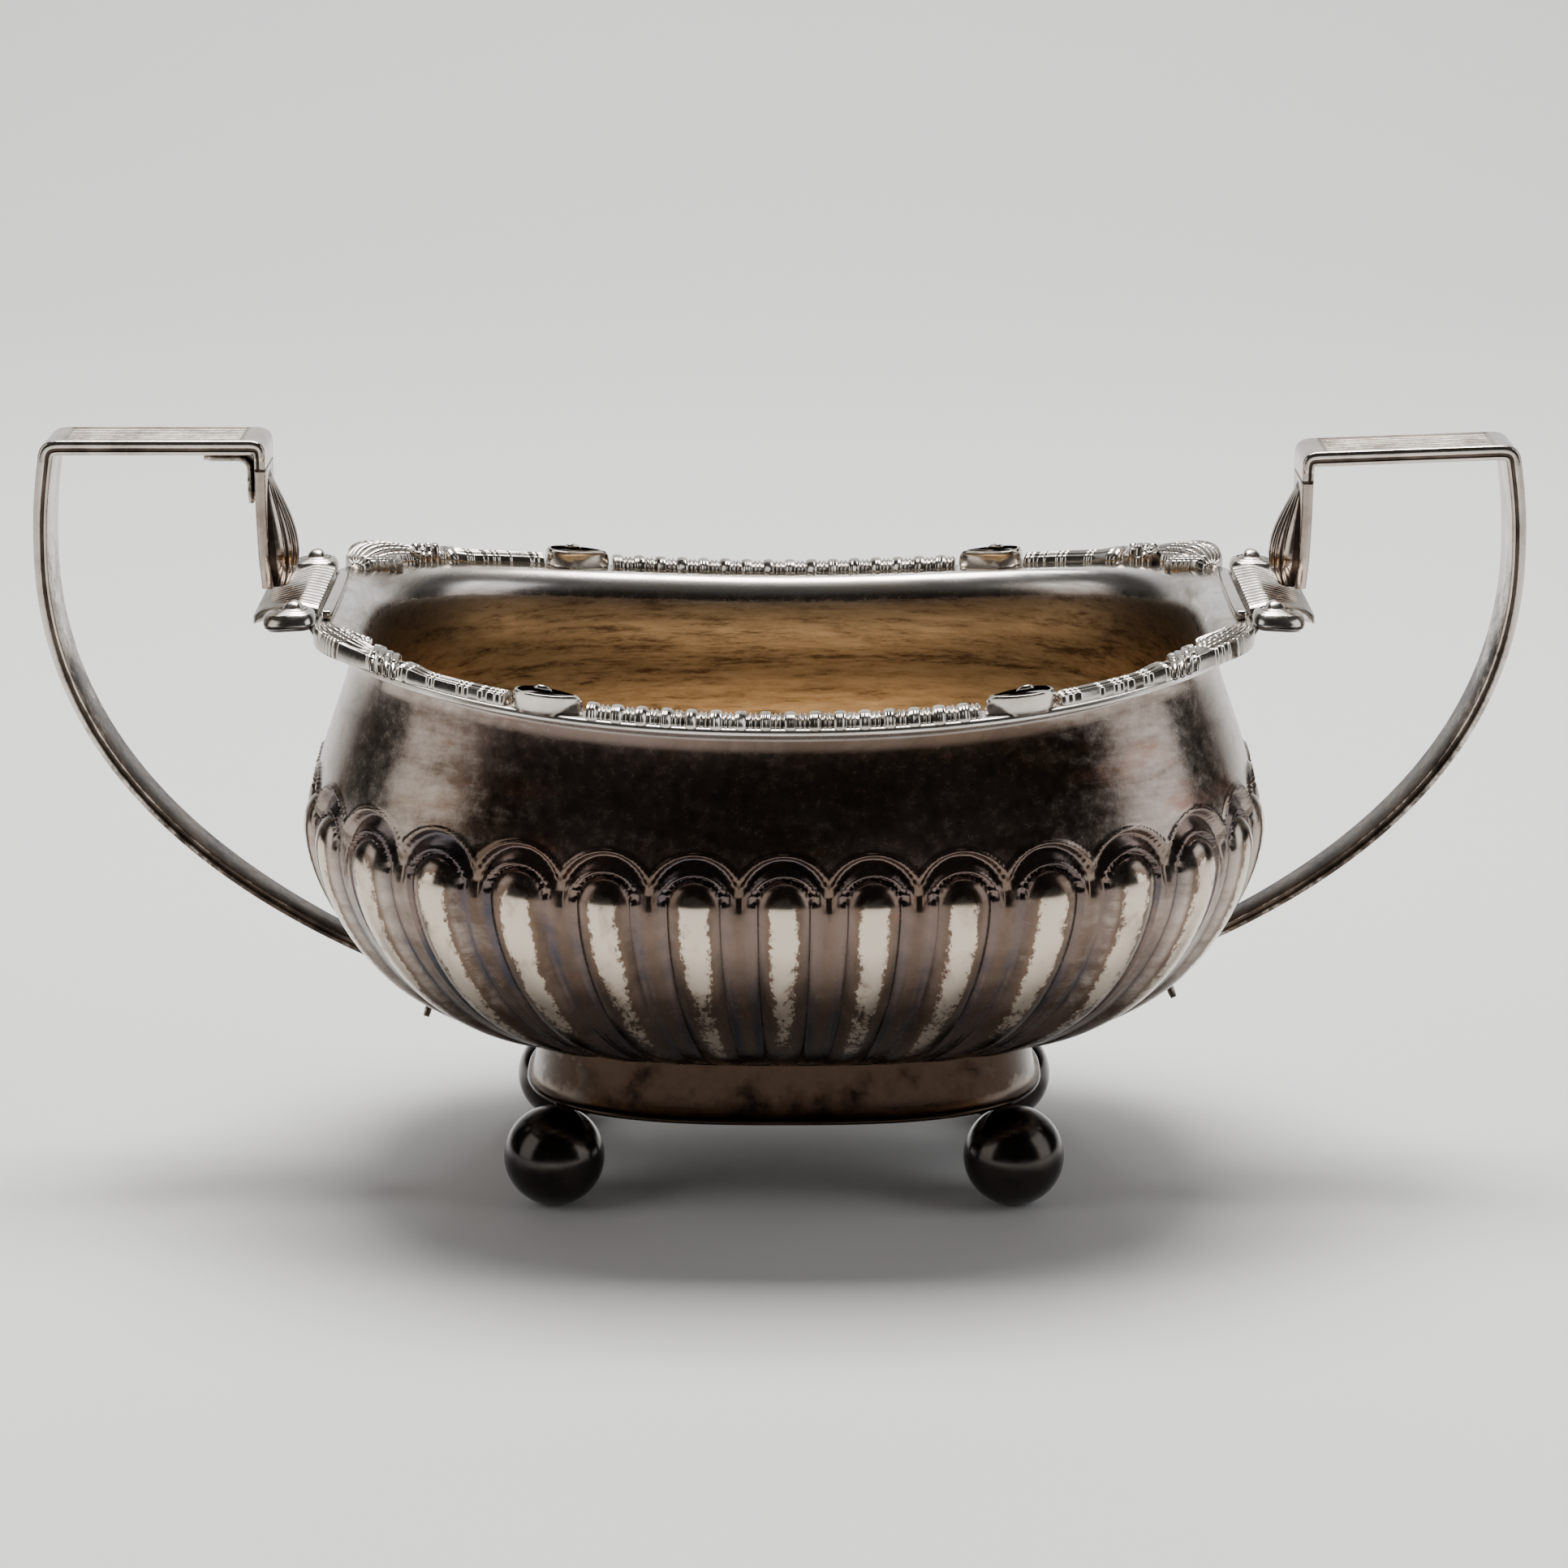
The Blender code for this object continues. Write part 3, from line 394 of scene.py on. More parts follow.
# A ruler-straight profile is spun once, then each of its points takes its place on the bowl
def makeBody():
    b = bowl
    rows = bodyRows()
    count = b["flutes"] * b["columns"]
    form = bmesh.new()
    worn = form.verts.layers.float.new("worn")
    gilt = form.verts.layers.float.new("gilt")
    shadow = form.verts.layers.float.new("shadow")
    plate = form.verts.layers.float.new("plate")
    dots = [form.verts.new((1, 0, i)) for i in range(len(rows))]
    edges = [form.edges.new(pair) for pair in zip(dots, dots[1:])]
    bmesh.ops.spin(form, geom=dots + edges, cent=(0, 0, 0), axis=(0, 0, 1), angle=2 * math.pi, steps=count,
                   use_merge=True)
    outlines = [wholeOutline(long, wide, power, count) for _, _, long, wide, power, _, _ in rows]
    for dot in form.verts:
        i = round(dot.co.z)
        k = round(math.atan2(dot.co.y, dot.co.x) / (2 * math.pi) * count) % count
        kind, height, long, wide, power, rise, gold = rows[i]
        place = outlines[i][k]
        share = riseShare(height) if rise is None else rise
        dot[gilt] = gold
        if kind == "outside":
            across = (k / b["columns"] + 0.5) % 1.0 - 0.5
            relief, bright, dim = fluteRelief(across, height)
            place = place + outlineNormal(place, long, wide, power) * relief
            dot[worn] = bright
            dot[shadow] = dim
        elif kind == "rim":
            dot[plate] = smooth(73.2 * mm, 74.6 * mm, height)
        dot.co = (place.x, place.y, height + share * saddle(place.x))
    for i in (0, len(rows) - 1):
        height = rows[i][1]
        ends = [v for v in form.verts if abs(v.co.z - height) < 1e-7 and v.co.xy.length < footLength * 0.011]
        bmesh.ops.contextual_create(form, geom=ends)
    return finishPiece("bowlShell", form, bodyFinish(), ["bowl_body"])


# Finishes

def newFinish(name, colour, roughness):
    paint = bpy.data.materials.new(name)
    paint.use_nodes = True
    shader = paint.node_tree.nodes["Principled BSDF"]
    shader.inputs["Metallic"].default_value = 1.0
    shader.inputs["Base Color"].default_value = (*colour, 1)
    shader.inputs["Roughness"].default_value = roughness
    return paint, paint.node_tree, shader


# A noise pattern on object coordinates; returns its value socket
def objectPattern(tree, scale, stretch=(1, 1, 1), detail=6.0, rough=0.6, distort=0.0):
    where = tree.nodes.new("ShaderNodeTexCoord")
    shift = tree.nodes.new("ShaderNodeMapping")
    shift.inputs["Scale"].default_value = stretch
    tree.links.new(where.outputs["Object"], shift.inputs["Vector"])
    made = tree.nodes.new("ShaderNodeTexNoise")
    made.inputs["Scale"].default_value = scale
    made.inputs["Detail"].default_value = detail
    made.inputs["Roughness"].default_value = rough
    made.inputs["Distortion"].default_value = distort
    tree.links.new(shift.outputs["Vector"], made.inputs["Vector"])
    return made.outputs["Fac"]


# A colour ramp over a value; stops are (position, colour or grey)
def ramp(tree, value, stops):
    made = tree.nodes.new("ShaderNodeValToRGB")
    marks = made.color_ramp.elements
    while len(marks) < len(stops):
        marks.new(0.5)
    for mark, (position, tone) in zip(marks, stops):
        mark.position = position
        mark.color = (*tone, 1) if isinstance(tone, tuple) else (tone, tone, tone, 1)
    tree.links.new(value, made.inputs["Fac"])
    return made.outputs["Color"]


def mixed(tree, share, first, second):
    made = tree.nodes.new("ShaderNodeMix")
    made.data_type = "RGBA"
    for slotName, value in (("Factor", share), ("A", first), ("B", second)):
        socket = next(s for s in made.inputs if s.name == slotName and s.enabled)
        if isinstance(value, bpy.types.NodeSocket):
            tree.links.new(value, socket)
        elif isinstance(value, tuple):
            socket.default_value = (*value, 1)
        else:
            socket.default_value = value
    return next(s for s in made.outputs if s.enabled)


def sums(tree, operation, first, second, clamp=False):
    made = tree.nodes.new("ShaderNodeMath")
    made.operation = operation
    made.use_clamp = clamp
    for socket, value in zip(made.inputs, (first, second)):
        if isinstance(value, bpy.types.NodeSocket):
            tree.links.new(value, socket)
        else:
            socket.default_value = value
    return made.outputs[0]


def attribute(tree, name):
    made = tree.nodes.new("ShaderNodeAttribute")
    made.attribute_name = name
    return made.outputs["Fac"]


def bumped(tree, shader, value, strength, distance):
    made = tree.nodes.new("ShaderNodeBump")
    made.inputs["Strength"].default_value = strength
    made.inputs["Distance"].default_value = distance
    tree.links.new(value, made.inputs["Height"])
    tree.links.new(made.outputs["Normal"], shader.inputs["Normal"])


def objectHeight(tree, axis="Z"):
    where = tree.nodes.new("ShaderNodeTexCoord")
    split = tree.nodes.new("ShaderNodeSeparateXYZ")
    tree.links.new(where.outputs["Object"], split.inputs[0])
    return split.outputs[axis]


bodyTones = {
    "bright": (0.60, 0.51, 0.41), "soft": (0.33, 0.26, 0.20), "dark": (0.17, 0.125, 0.105),
    "brown": (0.095, 0.066, 0.049), "rust": (0.185, 0.122, 0.083), "frost": (0.44, 0.38, 0.33),
    "red": (0.24, 0.09, 0.055), "blue": (0.050, 0.053, 0.072), "pale": (0.78, 0.75, 0.71),
    "gold": (0.34, 0.285, 0.22), "straw": (0.50, 0.43, 0.34), "amber": (0.58, 0.40, 0.21),
    "umber": (0.095, 0.072, 0.055),
}


# A 0 to 1 pattern moved to stand round zero, and scaled
def centred(tree, value, size):
    return sums(tree, "MULTIPLY", sums(tree, "SUBTRACT", value, 0.5), size)


def bodyFinish():
    t = bodyTones
    paint, tree, shader = newFinish("bodySilver", t["brown"], 0.2)
    worn, gilt = attribute(tree, "worn"), attribute(tree, "gilt")
    shadow, plate = attribute(tree, "shadow"), attribute(tree, "plate")
    pits = objectPattern(tree, 1500, (1, 1, 0.7), 6, 0.75)
    patches = objectPattern(tree, 170, (1, 1, 0.7), 6, 0.65, 0.3)
    cloud = objectPattern(tree, 34, (1, 1, 1.8), 8, 0.62, 0.5)
    mottle = objectPattern(tree, 520, (1, 1, 1), 6, 0.75)
    streaks = objectPattern(tree, 80, (0.35, 1, 4), 7, 0.65, 0.4)
    # the polished middle of each tongue breaks up into pits along a ragged edge
    ragged = sums(tree, "ADD", centred(tree, pits, 1.5), centred(tree, patches, 1.3))
    ragged = sums(tree, "MULTIPLY", ragged, ramp(tree, worn, [(0.24, 0.0), (0.45, 1.0)]))
    edge = sums(tree, "ADD", worn, ragged)
    shine = ramp(tree, edge, [(0.46, 0.0), (0.62, 1.0)])
    # the band: dark in the middle, frosted grey towards the ends, with rusty and red smudges
    tarnishAndShade = ramp(tree, cloud, [(0.38, t["dark"]), (0.55, t["brown"]), (0.72, t["rust"])])
    endwise = sums(tree, "MULTIPLY", sums(tree, "ABSOLUTE", objectHeight(tree, "X"), 0.0), 1 / 0.062)
    frostShare = sums(tree, "ADD", endwise, centred(tree, mottle, 0.55))
    frostShare = sums(tree, "ADD", frostShare, centred(tree, streaks, 0.8))
    tarnishAndShade = mixed(tree, ramp(tree, frostShare, [(0.62, 0.0), (0.98, 0.9)]), tarnishAndShade, t["frost"])
    smudge = objectPattern(tree, 48, (1, 1, 2.6), 4, 0.55)
    tarnishAndShade = mixed(tree, ramp(tree, smudge, [(0.60, 0.0), (0.70, 0.6)]), tarnishAndShade, t["red"])
    # brown flanks on the flutes; painted shade in the grooves round each tongue, blue-black where the shadow
    # mask lies
    flank = mixed(tree, ramp(tree, patches, [(0.35, 0.0), (0.65, 1.0)]), t["brown"], t["rust"])
    tarnishAndShade = mixed(tree, ramp(tree, worn, [(0.12, 0.0), (0.34, 0.85)]), tarnishAndShade, flank)
    deep = mixed(tree, ramp(tree, cloud, [(0.42, 0.0), (0.62, 1.0)]), t["dark"], t["blue"])
    tarnishAndShade = mixed(tree, sums(tree, "MULTIPLY", shadow, 0.92), tarnishAndShade, deep)
    polish = ramp(tree, patches, [(0.30, t["soft"]), (0.48, t["bright"])])
    silver = mixed(tree, shine, tarnishAndShade, polish)
    # the rim's plate and flange stay pale, with grey-brown bloom
    bloom = ramp(tree, streaks, [(0.34, (0.40, 0.35, 0.30)), (0.58, t["pale"])])
    silver = mixed(tree, plate, silver, bloom)
    # gilding: streaked along the bowl, warmer towards the bottom
    fine = objectPattern(tree, 420, (0.3, 1, 2.2), 8, 0.8, 0.2)
    wash = sums(tree, "ADD", sums(tree, "MULTIPLY", streaks, 0.4), sums(tree, "MULTIPLY", fine, 0.6))
    gold = ramp(tree, wash, [(0.41, t["umber"]), (0.49, t["gold"]), (0.60, t["straw"])])
    highShare = sums(tree, "DIVIDE", sums(tree, "SUBTRACT", objectHeight(tree), 0.060), 0.016, True)
    gold = mixed(tree, sums(tree, "MULTIPLY", highShare, 0.6), gold, t["umber"])
    lowShare = sums(tree, "DIVIDE", sums(tree, "SUBTRACT", 0.060, objectHeight(tree)), 0.022, True)
    gold = mixed(tree, sums(tree, "MULTIPLY", lowShare, 0.75), gold, t["amber"])
    giltEdge = ramp(tree, sums(tree, "ADD", gilt, centred(tree, mottle, 0.5)), [(0.42, 0.0), (0.66, 1.0)])
    tree.links.new(mixed(tree, giltEdge, silver, gold), shader.inputs["Base Color"])
    dullRough = ramp(tree, mottle, [(0.3, 0.14), (0.7, 0.32)])
    brightRough = ramp(tree, patches, [(0.3, 0.20), (0.7, 0.11)])
    rough = mixed(tree, shine, dullRough, brightRough)
    rough = mixed(tree, plate, rough, ramp(tree, streaks, [(0.3, 0.34), (0.7, 0.17)]))
    rough = mixed(tree, giltEdge, rough, ramp(tree, wash, [(0.3, 0.50), (0.7, 0.30)]))
    tree.links.new(rough, shader.inputs["Roughness"])
    dents = objectPattern(tree, 85, (1, 1, 1), 2, 0.4)
    dents = sums(tree, "ADD", dents, sums(tree, "MULTIPLY", pits, 0.10))
    bumped(tree, shader, dents, 0.30, 0.0004)
    return paint


# Cast silver: bright on what stands out, brown-black where polish never reaches
def castFinish(name, slotTones):
    t = slotTones
    paint, tree, shader = newFinish(name, t["bright"], 0.2)
    fleck = objectPattern(tree, 800, (1, 1, 1), 8, 0.7)
    cloud = objectPattern(tree, 160, (1, 1, 1), 5, 0.6)
    worn = ramp(tree, attribute(tree, "worn"), [(t["hollow"], 0.0), (0.485, t["flat"]), (t["ridge"], 1.0)])
    edge = sums(tree, "ADD", worn, sums(tree, "MULTIPLY", sums(tree, "SUBTRACT", fleck, 0.5), t["fleck"]))
    edge = sums(tree, "ADD", edge, sums(tree, "MULTIPLY", sums(tree, "SUBTRACT", cloud, 0.5), t["cloud"]))
    if t.get("lowTarnish"):
        lowness = sums(tree, "DIVIDE", sums(tree, "SUBTRACT", 0.100, objectHeight(tree)), 0.055, True)
        edge = sums(tree, "SUBTRACT", edge, sums(tree, "MULTIPLY", lowness, t["lowTarnish"]))
    shine = ramp(tree, edge, [(0.25, 0.0), (0.6, 1.0)])
    grime = ramp(tree, cloud, [(0.35, t["dark"]), (0.7, t["grime"])])
    if t.get("ends"):
        endwise = sums(tree, "SUBTRACT", sums(tree, "ABSOLUTE", objectHeight(tree, "X"), 0.0), t["endsFrom"])
        endwise = sums(tree, "DIVIDE", endwise, t["endsOver"], True)
        grime = mixed(tree, sums(tree, "MULTIPLY", endwise, 0.8), grime, t["ends"])
    polish = ramp(tree, cloud, [(0.3, t["dull"]), (0.55, t["bright"])])
    tree.links.new(mixed(tree, shine, grime, polish), shader.inputs["Base Color"])
    dullRough = ramp(tree, fleck, [(0.3, 0.3), (0.7, 0.5)])
    brightRough = ramp(tree, fleck, [(0.3, 0.12), (0.8, 0.28)])
    tree.links.new(mixed(tree, shine, dullRough, brightRough), shader.inputs["Roughness"])
    bumped(tree, shader, fleck, 0.06, 0.0002)
    return paint


castTones = {
    "border": {"bright": (0.66, 0.61, 0.555), "dull": (0.42, 0.37, 0.32), "dark": (0.028, 0.021, 0.017),
               "grime": (0.12, 0.09, 0.07),
               "hollow": 0.30, "flat": 0.60, "ridge": 0.60, "fleck": 0.35, "cloud": 0.15},
    "handle": {"bright": (0.62, 0.555, 0.49), "dull": (0.40, 0.335, 0.285), "dark": (0.03, 0.023, 0.018),
               "grime": (0.15, 0.11, 0.085),
               "hollow": 0.44, "flat": 0.62, "ridge": 0.56, "fleck": 1.0, "cloud": 0.7,
               "lowTarnish": 0.75},
    "leaf": {"bright": (0.50, 0.42, 0.36), "dull": (0.24, 0.175, 0.14), "dark": (0.022, 0.017, 0.014),
               "grime": (0.09, 0.06, 0.048),
               "hollow": 0.42, "flat": 0.42, "ridge": 0.60, "fleck": 0.6, "cloud": 0.8},
    "repair": {"bright": (0.40, 0.37, 0.33), "dull": (0.22, 0.20, 0.17), "dark": (0.05, 0.04, 0.035),
               "grime": (0.12, 0.10, 0.085),
               "hollow": 0.30, "flat": 0.62, "ridge": 0.60, "fleck": 1.2, "cloud": 1.0},
    # the foot: dark tarnish, its tones made darker still as painted shade for the shadowed floor that the
    # collar reflects
    "foot": {"bright": (0.040, 0.026, 0.018), "dull": (0.020, 0.013, 0.010), "dark": (0.010, 0.007, 0.006),
               "grime": (0.085, 0.044, 0.02),
               "hollow": 0.36, "flat": 0.5, "ridge": 0.60, "fleck": 0.4, "cloud": 1.5,
               "ends": (0.36, 0.30, 0.25),
               "endsFrom": 27 * mm, "endsOver": 8 * mm},
    "ball": {"bright": (0.055, 0.048, 0.042), "dull": (0.028, 0.026, 0.026), "dark": (0.018, 0.015, 0.014),
               "grime": (0.13, 0.09, 0.06),
               "hollow": 0.34, "flat": 0.58, "ridge": 0.60, "fleck": 0.5, "cloud": 1.5},
}


# The foot: collar and balls

foot = {
    "columns": 240, "flare": 1.0 * mm, "waist": 0.6, "flange": 0.7 * mm, "flangeThick": 0.9 * mm,
    "wall": 1.5 * mm, "soft": 0.3 * mm,
}


def makeFoot():
    f = foot
    low, high = footLow.z, footHigh.z
    flangeTop = low + f["flangeThick"]
    lip = f["flangeThick"] / 2
    turns = [math.radians(turn) for turn in range(-80, 81, 20)]
    rises = [i / 12 for i in range(13)]
    profile = [(f["flange"] - lip * (1 - math.cos(a)), low + lip * (1 + math.sin(a))) for a in turns]
    profile += [(-f["flare"] * t ** f["waist"], flangeTop + (high - flangeTop) * t) for t in rises]
    inner = -f["flare"] - f["wall"]
    profile += [(-f["flare"] - f["soft"], high), (inner + f["soft"], high), (inner, high - f["soft"])]
    profile += [(-f["wall"], low + f["soft"]), (-f["wall"] + f["soft"], low)]
    form = bmesh.new()
    dots = [form.verts.new((1, 0, i)) for i in range(len(profile))]
    edges = [form.edges.new(pair) for pair in zip(dots, dots[1:] + dots[:1])]
    bmesh.ops.spin(form, geom=dots + edges, cent=(0, 0, 0), axis=(0, 0, 1), angle=2 * math.pi,
                   steps=f["columns"], use_merge=True)
    outlines = [wholeOutline(footLength / 2 + out, footWidth / 2 + out, bowl["footPower"], f["columns"])
                for out, _ in profile]
    for dot in form.verts:
        i = round(dot.co.z)
        k = round(math.atan2(dot.co.y, dot.co.x) / (2 * math.pi) * f["columns"]) % f["columns"]
        dot.co = (*outlines[i][k], profile[i][1])
    finish = castFinish("footSilver", castTones["foot"])
    finishPiece("footCollar", form, finish, ["foot_collar"])


def makeBalls():
    finish = castFinish("ballSilver", castTones["ball"])
    for side, sx in sides.items():
        for face, sy in faces.items():
            node = f"ball_foot_{face}_{side}"
            low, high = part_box(node)
            radius = (high.x - low.x) / 2
            centre = Vector(((low.x + high.x) / 2, (low.y + high.y) / 2, 0))
            centre.z = radius - 0.1 * mm
            form = bmesh.new()
            bmesh.ops.create_uvsphere(form, u_segments=64, v_segments=40, radius=radius,
                                      matrix=Matrix.Translation(centre))
            below = bmesh.ops.bisect_plane(form, geom=form.verts[:] + form.edges[:] + form.faces[:],
                                           plane_co=(0, 0, 0), plane_no=(0, 0, -1), clear_outer=True)
            rim = [e for e in below["geom_cut"] if isinstance(e, bmesh.types.BMEdge)]
            bmesh.ops.edgeloop_fill(form, edges=rim)
            finishPiece(f"ballFoot{face.title()}{side.title()}", form, finish, [node], 50)


# The cast border

border = {"gadroonEnd": 0.279, "voluteEnd": 0.385, "branchEnd": 0.560, "cornerEnd": 0.775, "steps": 500}
lineLong = bowl["rimLength"] / 2 - bowl["borderWidth"] / 2
lineWide = bowl["rimWidth"] / 2 - bowl["borderWidth"] / 2
borderLine = quarterOutline(lineLong, lineWide, bowl["planPower"], border["steps"])
borderRun = sum((b - a).length for a, b in zip(borderLine, borderLine[1:]))


# A place on the rim: a share of the way from the long side's middle to the end, how far out and up
def onRim(share, out, up, sx=1, sy=1):
    step = abs(share) * border["steps"]
    low = min(int(step), border["steps"] - 1)
    spot = borderLine[low].lerp(borderLine[low + 1], step - low)
    spot = spot + outlineNormal(spot, lineLong, lineWide, bowl["planPower"]) * out
    turn = -1 if share < 0 else 1
    return Vector((turn * sx * spot.x, sy * spot.y, bowl["rimHeight"] + saddle(spot.x) + 0.1 * mm + up))


# A moulding along the rim; shape gives its section's (out, up) points at each share of the way
def rimSweep(form, first, last, steps, shape, sx, sy):
    sweep(form, [[onRim(first + (last - first) * i / steps, out, up, sx, sy) for out, up in shape(i / steps)]
                 for i in range(steps + 1)])


# A mound of stepped rings drawn in towards its middle; steps are (size, height)
def terraces(form, outline, steps, place):
    sweep(form, [[place(along * size, out * size, up) for along, out in outline] for size, up in steps])


# A half-round section: its outer part plain, the rest cut into fine reeds
def reededRoll(half, high, reeds, depth, plain=0.34, fine=6):
    dots = [(half * 0.96, -0.35 * mm)]
    for k in range(7):
        turn = math.radians(-8 + 72 * k / 6)
        out = half * (1 - plain) + half * plain * math.cos(turn)
        dots.append((out, high * 0.92 * max(-0.15, math.sin(turn))))
    for k in range(reeds * fine + 1):
        t = k / (reeds * fine)
        out = half * (1 - plain * 0.62) - t * half * (2 - plain * 0.62)
        wave = abs(math.sin(math.pi * t * reeds)) ** 0.75
        dots.append((out, high * (max(0.0, 1 - (out / half * 0.93) ** 2) ** 0.42) - depth * (1 - wave)))
    dots.append((-half, -0.3 * mm))
    return dots


gadroon = {
    "count": 16, "half": 2.05 * mm, "high": 1.85 * mm, "bead": 0.27, "fillets": (0.66, 0.85), "fillet": 0.062,
    "filletMarks": (0.57, 0.60, 0.625, 0.66, 0.695, 0.72, 0.76, 0.79, 0.815, 0.85, 0.885, 0.91, 0.96),
}


# The moulding's size along one pitch: a plump bead, then two fillets, with deep cuts between them
def beadSize(t):
    g = gadroon
    size = 0.72
    u = (t - g["bead"]) / g["bead"]
    if abs(u) < 1:
        size = 0.72 + 0.28 * (1 - abs(u) ** 3.2) ** 0.5
    for place in g["fillets"]:
        u = (t - place) / g["fillet"]
        if abs(u) < 1:
            size = max(size, 0.72 + 0.17 * (1 - u * u) ** 0.5)
    return size


def makeGadroons(finish):
    g = gadroon
    half = border["gadroonEnd"] - 0.003
    turns = [(-14 + 208 * k / 14) for k in range(15)]
    marks = sorted({round(i / 12 * 2 * g["bead"], 4) for i in range(13)} | set(g["filletMarks"]))
    for face, sy in faces.items():
        form = bmesh.new()
        rings = []
        for i in range(g["count"]):
            uneven = 1 + 0.04 * noise.noise(Vector((i * 1.7, sy, 0.3)))
            for t in marks:
                share = -half + 2 * half * (i + t) / g["count"]
                size = beadSize(t) * uneven
                rings.append([onRim(share, g["half"] * size * math.cos(math.radians(a)),
                                    g["high"] * size * math.sin(math.radians(a)), 1, sy) for a in turns])
        sweep(form, rings)
        finishPiece(f"gadroon{face.title()}", form, finish, [f"gadroon_{face}"])


volute = {"half": 2.6 * mm, "boss": 0.60}


# A C-scroll: pointed beside the beads, blunt beside the reeds, its steps rising round an oval boss
def makeVolutes(finish, side, sx, face, sy):
    v = volute
    form = bmesh.new()
    first, last = border["gadroonEnd"] + 0.002, border["voluteEnd"] - 0.002
    boss = first + (last - first) * v["boss"]
    ahead = (last - boss) * borderRun
    behind = (boss - first) * borderRun
    outline = []
    for k in range(48):
        turn = 2 * math.pi * k / 48
        c, d = math.cos(turn), math.sin(turn)
        if c > 0:
            outline.append((ahead * c ** 0.8, v["half"] * math.copysign(abs(d) ** 0.8, d)))
        else:
            outline.append((behind * c, v["half"] * d * (1 - 0.5 * c * c) * (1 if d > 0 else 0.9)))
    steps = [(0.96, -0.3), (1.0, 0.3), (1.0, 1.0), (0.97, 1.6), (0.90, 2.0), (0.80, 2.1), (0.71, 1.9),
             (0.66, 1.45), (0.635, 1.3), (0.61, 1.5), (0.55, 1.9), (0.47, 2.0), (0.40, 1.85), (0.36, 1.5),
             (0.34, 1.5), (0.31, 1.9), (0.25, 2.4), (0.17, 2.65), (0.08, 2.75), (0.015, 2.78)]

    def place(along, out, up):
        return onRim(boss + along / borderRun, out, up * 1.15 * mm, sx, sy)
    terraces(form, outline, steps, place)
    finishPiece(f"volute{face.title()}{side.title()}", form, finish,
                [f"volute_{face}_{side}"])


# A bundle of reeds, plain on its outer side, that thickens towards a blunt cuff beside the tie
def makeBranches(finish, side, sx, face, sy):
    form = bmesh.new()
    first, last = border["voluteEnd"] + 0.002, border["branchEnd"] - 0.002

    def shape(t):
        swell = smooth(0.72, 0.95, t)
        close = 0.55 + 0.45 * min(1.0, t / 0.02, (1 - t) / 0.02)
        return reededRoll((1.75 + 0.4 * swell) * mm * close, (1.65 + 0.45 * swell) * mm * close, 4,
                          0.30 * mm * (1 - 0.8 * smooth(0.86, 0.93, t)), 0.36)
    rimSweep(form, first, last, 40, shape, sx, sy)
    finishPiece(f"reedBranch{face.title()}{side.title()}", form, finish,
                [f"reed_branch_{face}_{side}"])


# A tie of slanting wraps, then a ribbed leaf that swells round the corner, with a lobe on its inner side
def makeCorners(finish, side, sx, face, sy):
    form = bmesh.new()
    first, last = border["branchEnd"] + 0.002, border["cornerEnd"] - 0.003
    tied = 0.30

    def leaf(t):
        past = max(0.0, (t - 0.16) / 0.84)
        swell = math.sin(math.pi * min(1.0, past * 0.93 + 0.04)) ** 1.15
        close = 0.5 + 0.5 * min(1.0, t / 0.02, ((1 - t) / 0.05) ** 0.6)
        half = (1.75 + 1.35 * swell) * mm * close
        depth = 0.42 * mm * smooth(tied - 0.06, tied + 0.1, t)
        return [(out + 1.3 * mm * swell, up) for out, up in
                reededRoll(half, (1.75 + 1.0 * swell) * mm * close, 6, depth, 0.24)]
    rimSweep(form, first, last, 64, leaf, sx, sy)
    run = last - first
    for wrap in range(4):
        centre = first + run * (0.07 + 0.062 * wrap)
        path = []
        for i in range(17):
            a = 1 - 2 * i / 16
            path.append(onRim(centre - a * 1.35 * mm / borderRun, a * 2.1 * mm,
                              (-0.15 + 2.2 * max(0.0, 1 - a * a) ** 0.5) * mm, sx, sy))
        tube(form, path, [(0.42 + 0.22 * math.sin(math.pi * i / 16)) * mm for i in range(17)], 10)
    # the inner lobe turns away from the rim and stops blunt
    lobeFirst, lobeLast = first + run * 0.60, last - 0.008

    def lobe(t):
        close = 0.45 + 0.55 * min(1.0, (t / 0.08) ** 0.5, ((1 - t) / 0.08) ** 0.5)
        shift = (-0.4 - 2.0 * smooth(0.0, 0.9, 1 - t)) * mm
        return [(-out + shift, up) for out, up in
                reededRoll(1.45 * mm * close, 1.9 * mm * close, 3, 0.32 * mm, 0.26)]
    rimSweep(form, lobeFirst, lobeLast, 30, lobe, sx, sy)
    curl = []
    for i in range(25):
        t = i / 24
        turn = math.pi * (0.2 + 2.1 * t)
        reach = (1.25 - 0.85 * t) * mm
        share = first + run * 0.335 + reach * math.cos(turn) / borderRun
        curl.append(onRim(share, -1.5 * mm + reach * math.sin(turn), (1.45 + 0.5 * t) * mm, sx, sy))
    tube(form, curl, [(0.42 - 0.1 * i / 24) * mm for i in range(25)], 8)
    finishPiece(f"acanthusCorner{face.title()}{side.title()}", form, finish,
                [f"acanthus_corner_{face}_{side}"])


endScroll = {"outward": 4.2 * mm, "inward": 2.9 * mm, "half": 2.8 * mm, "eyeOut": 0.6 * mm}


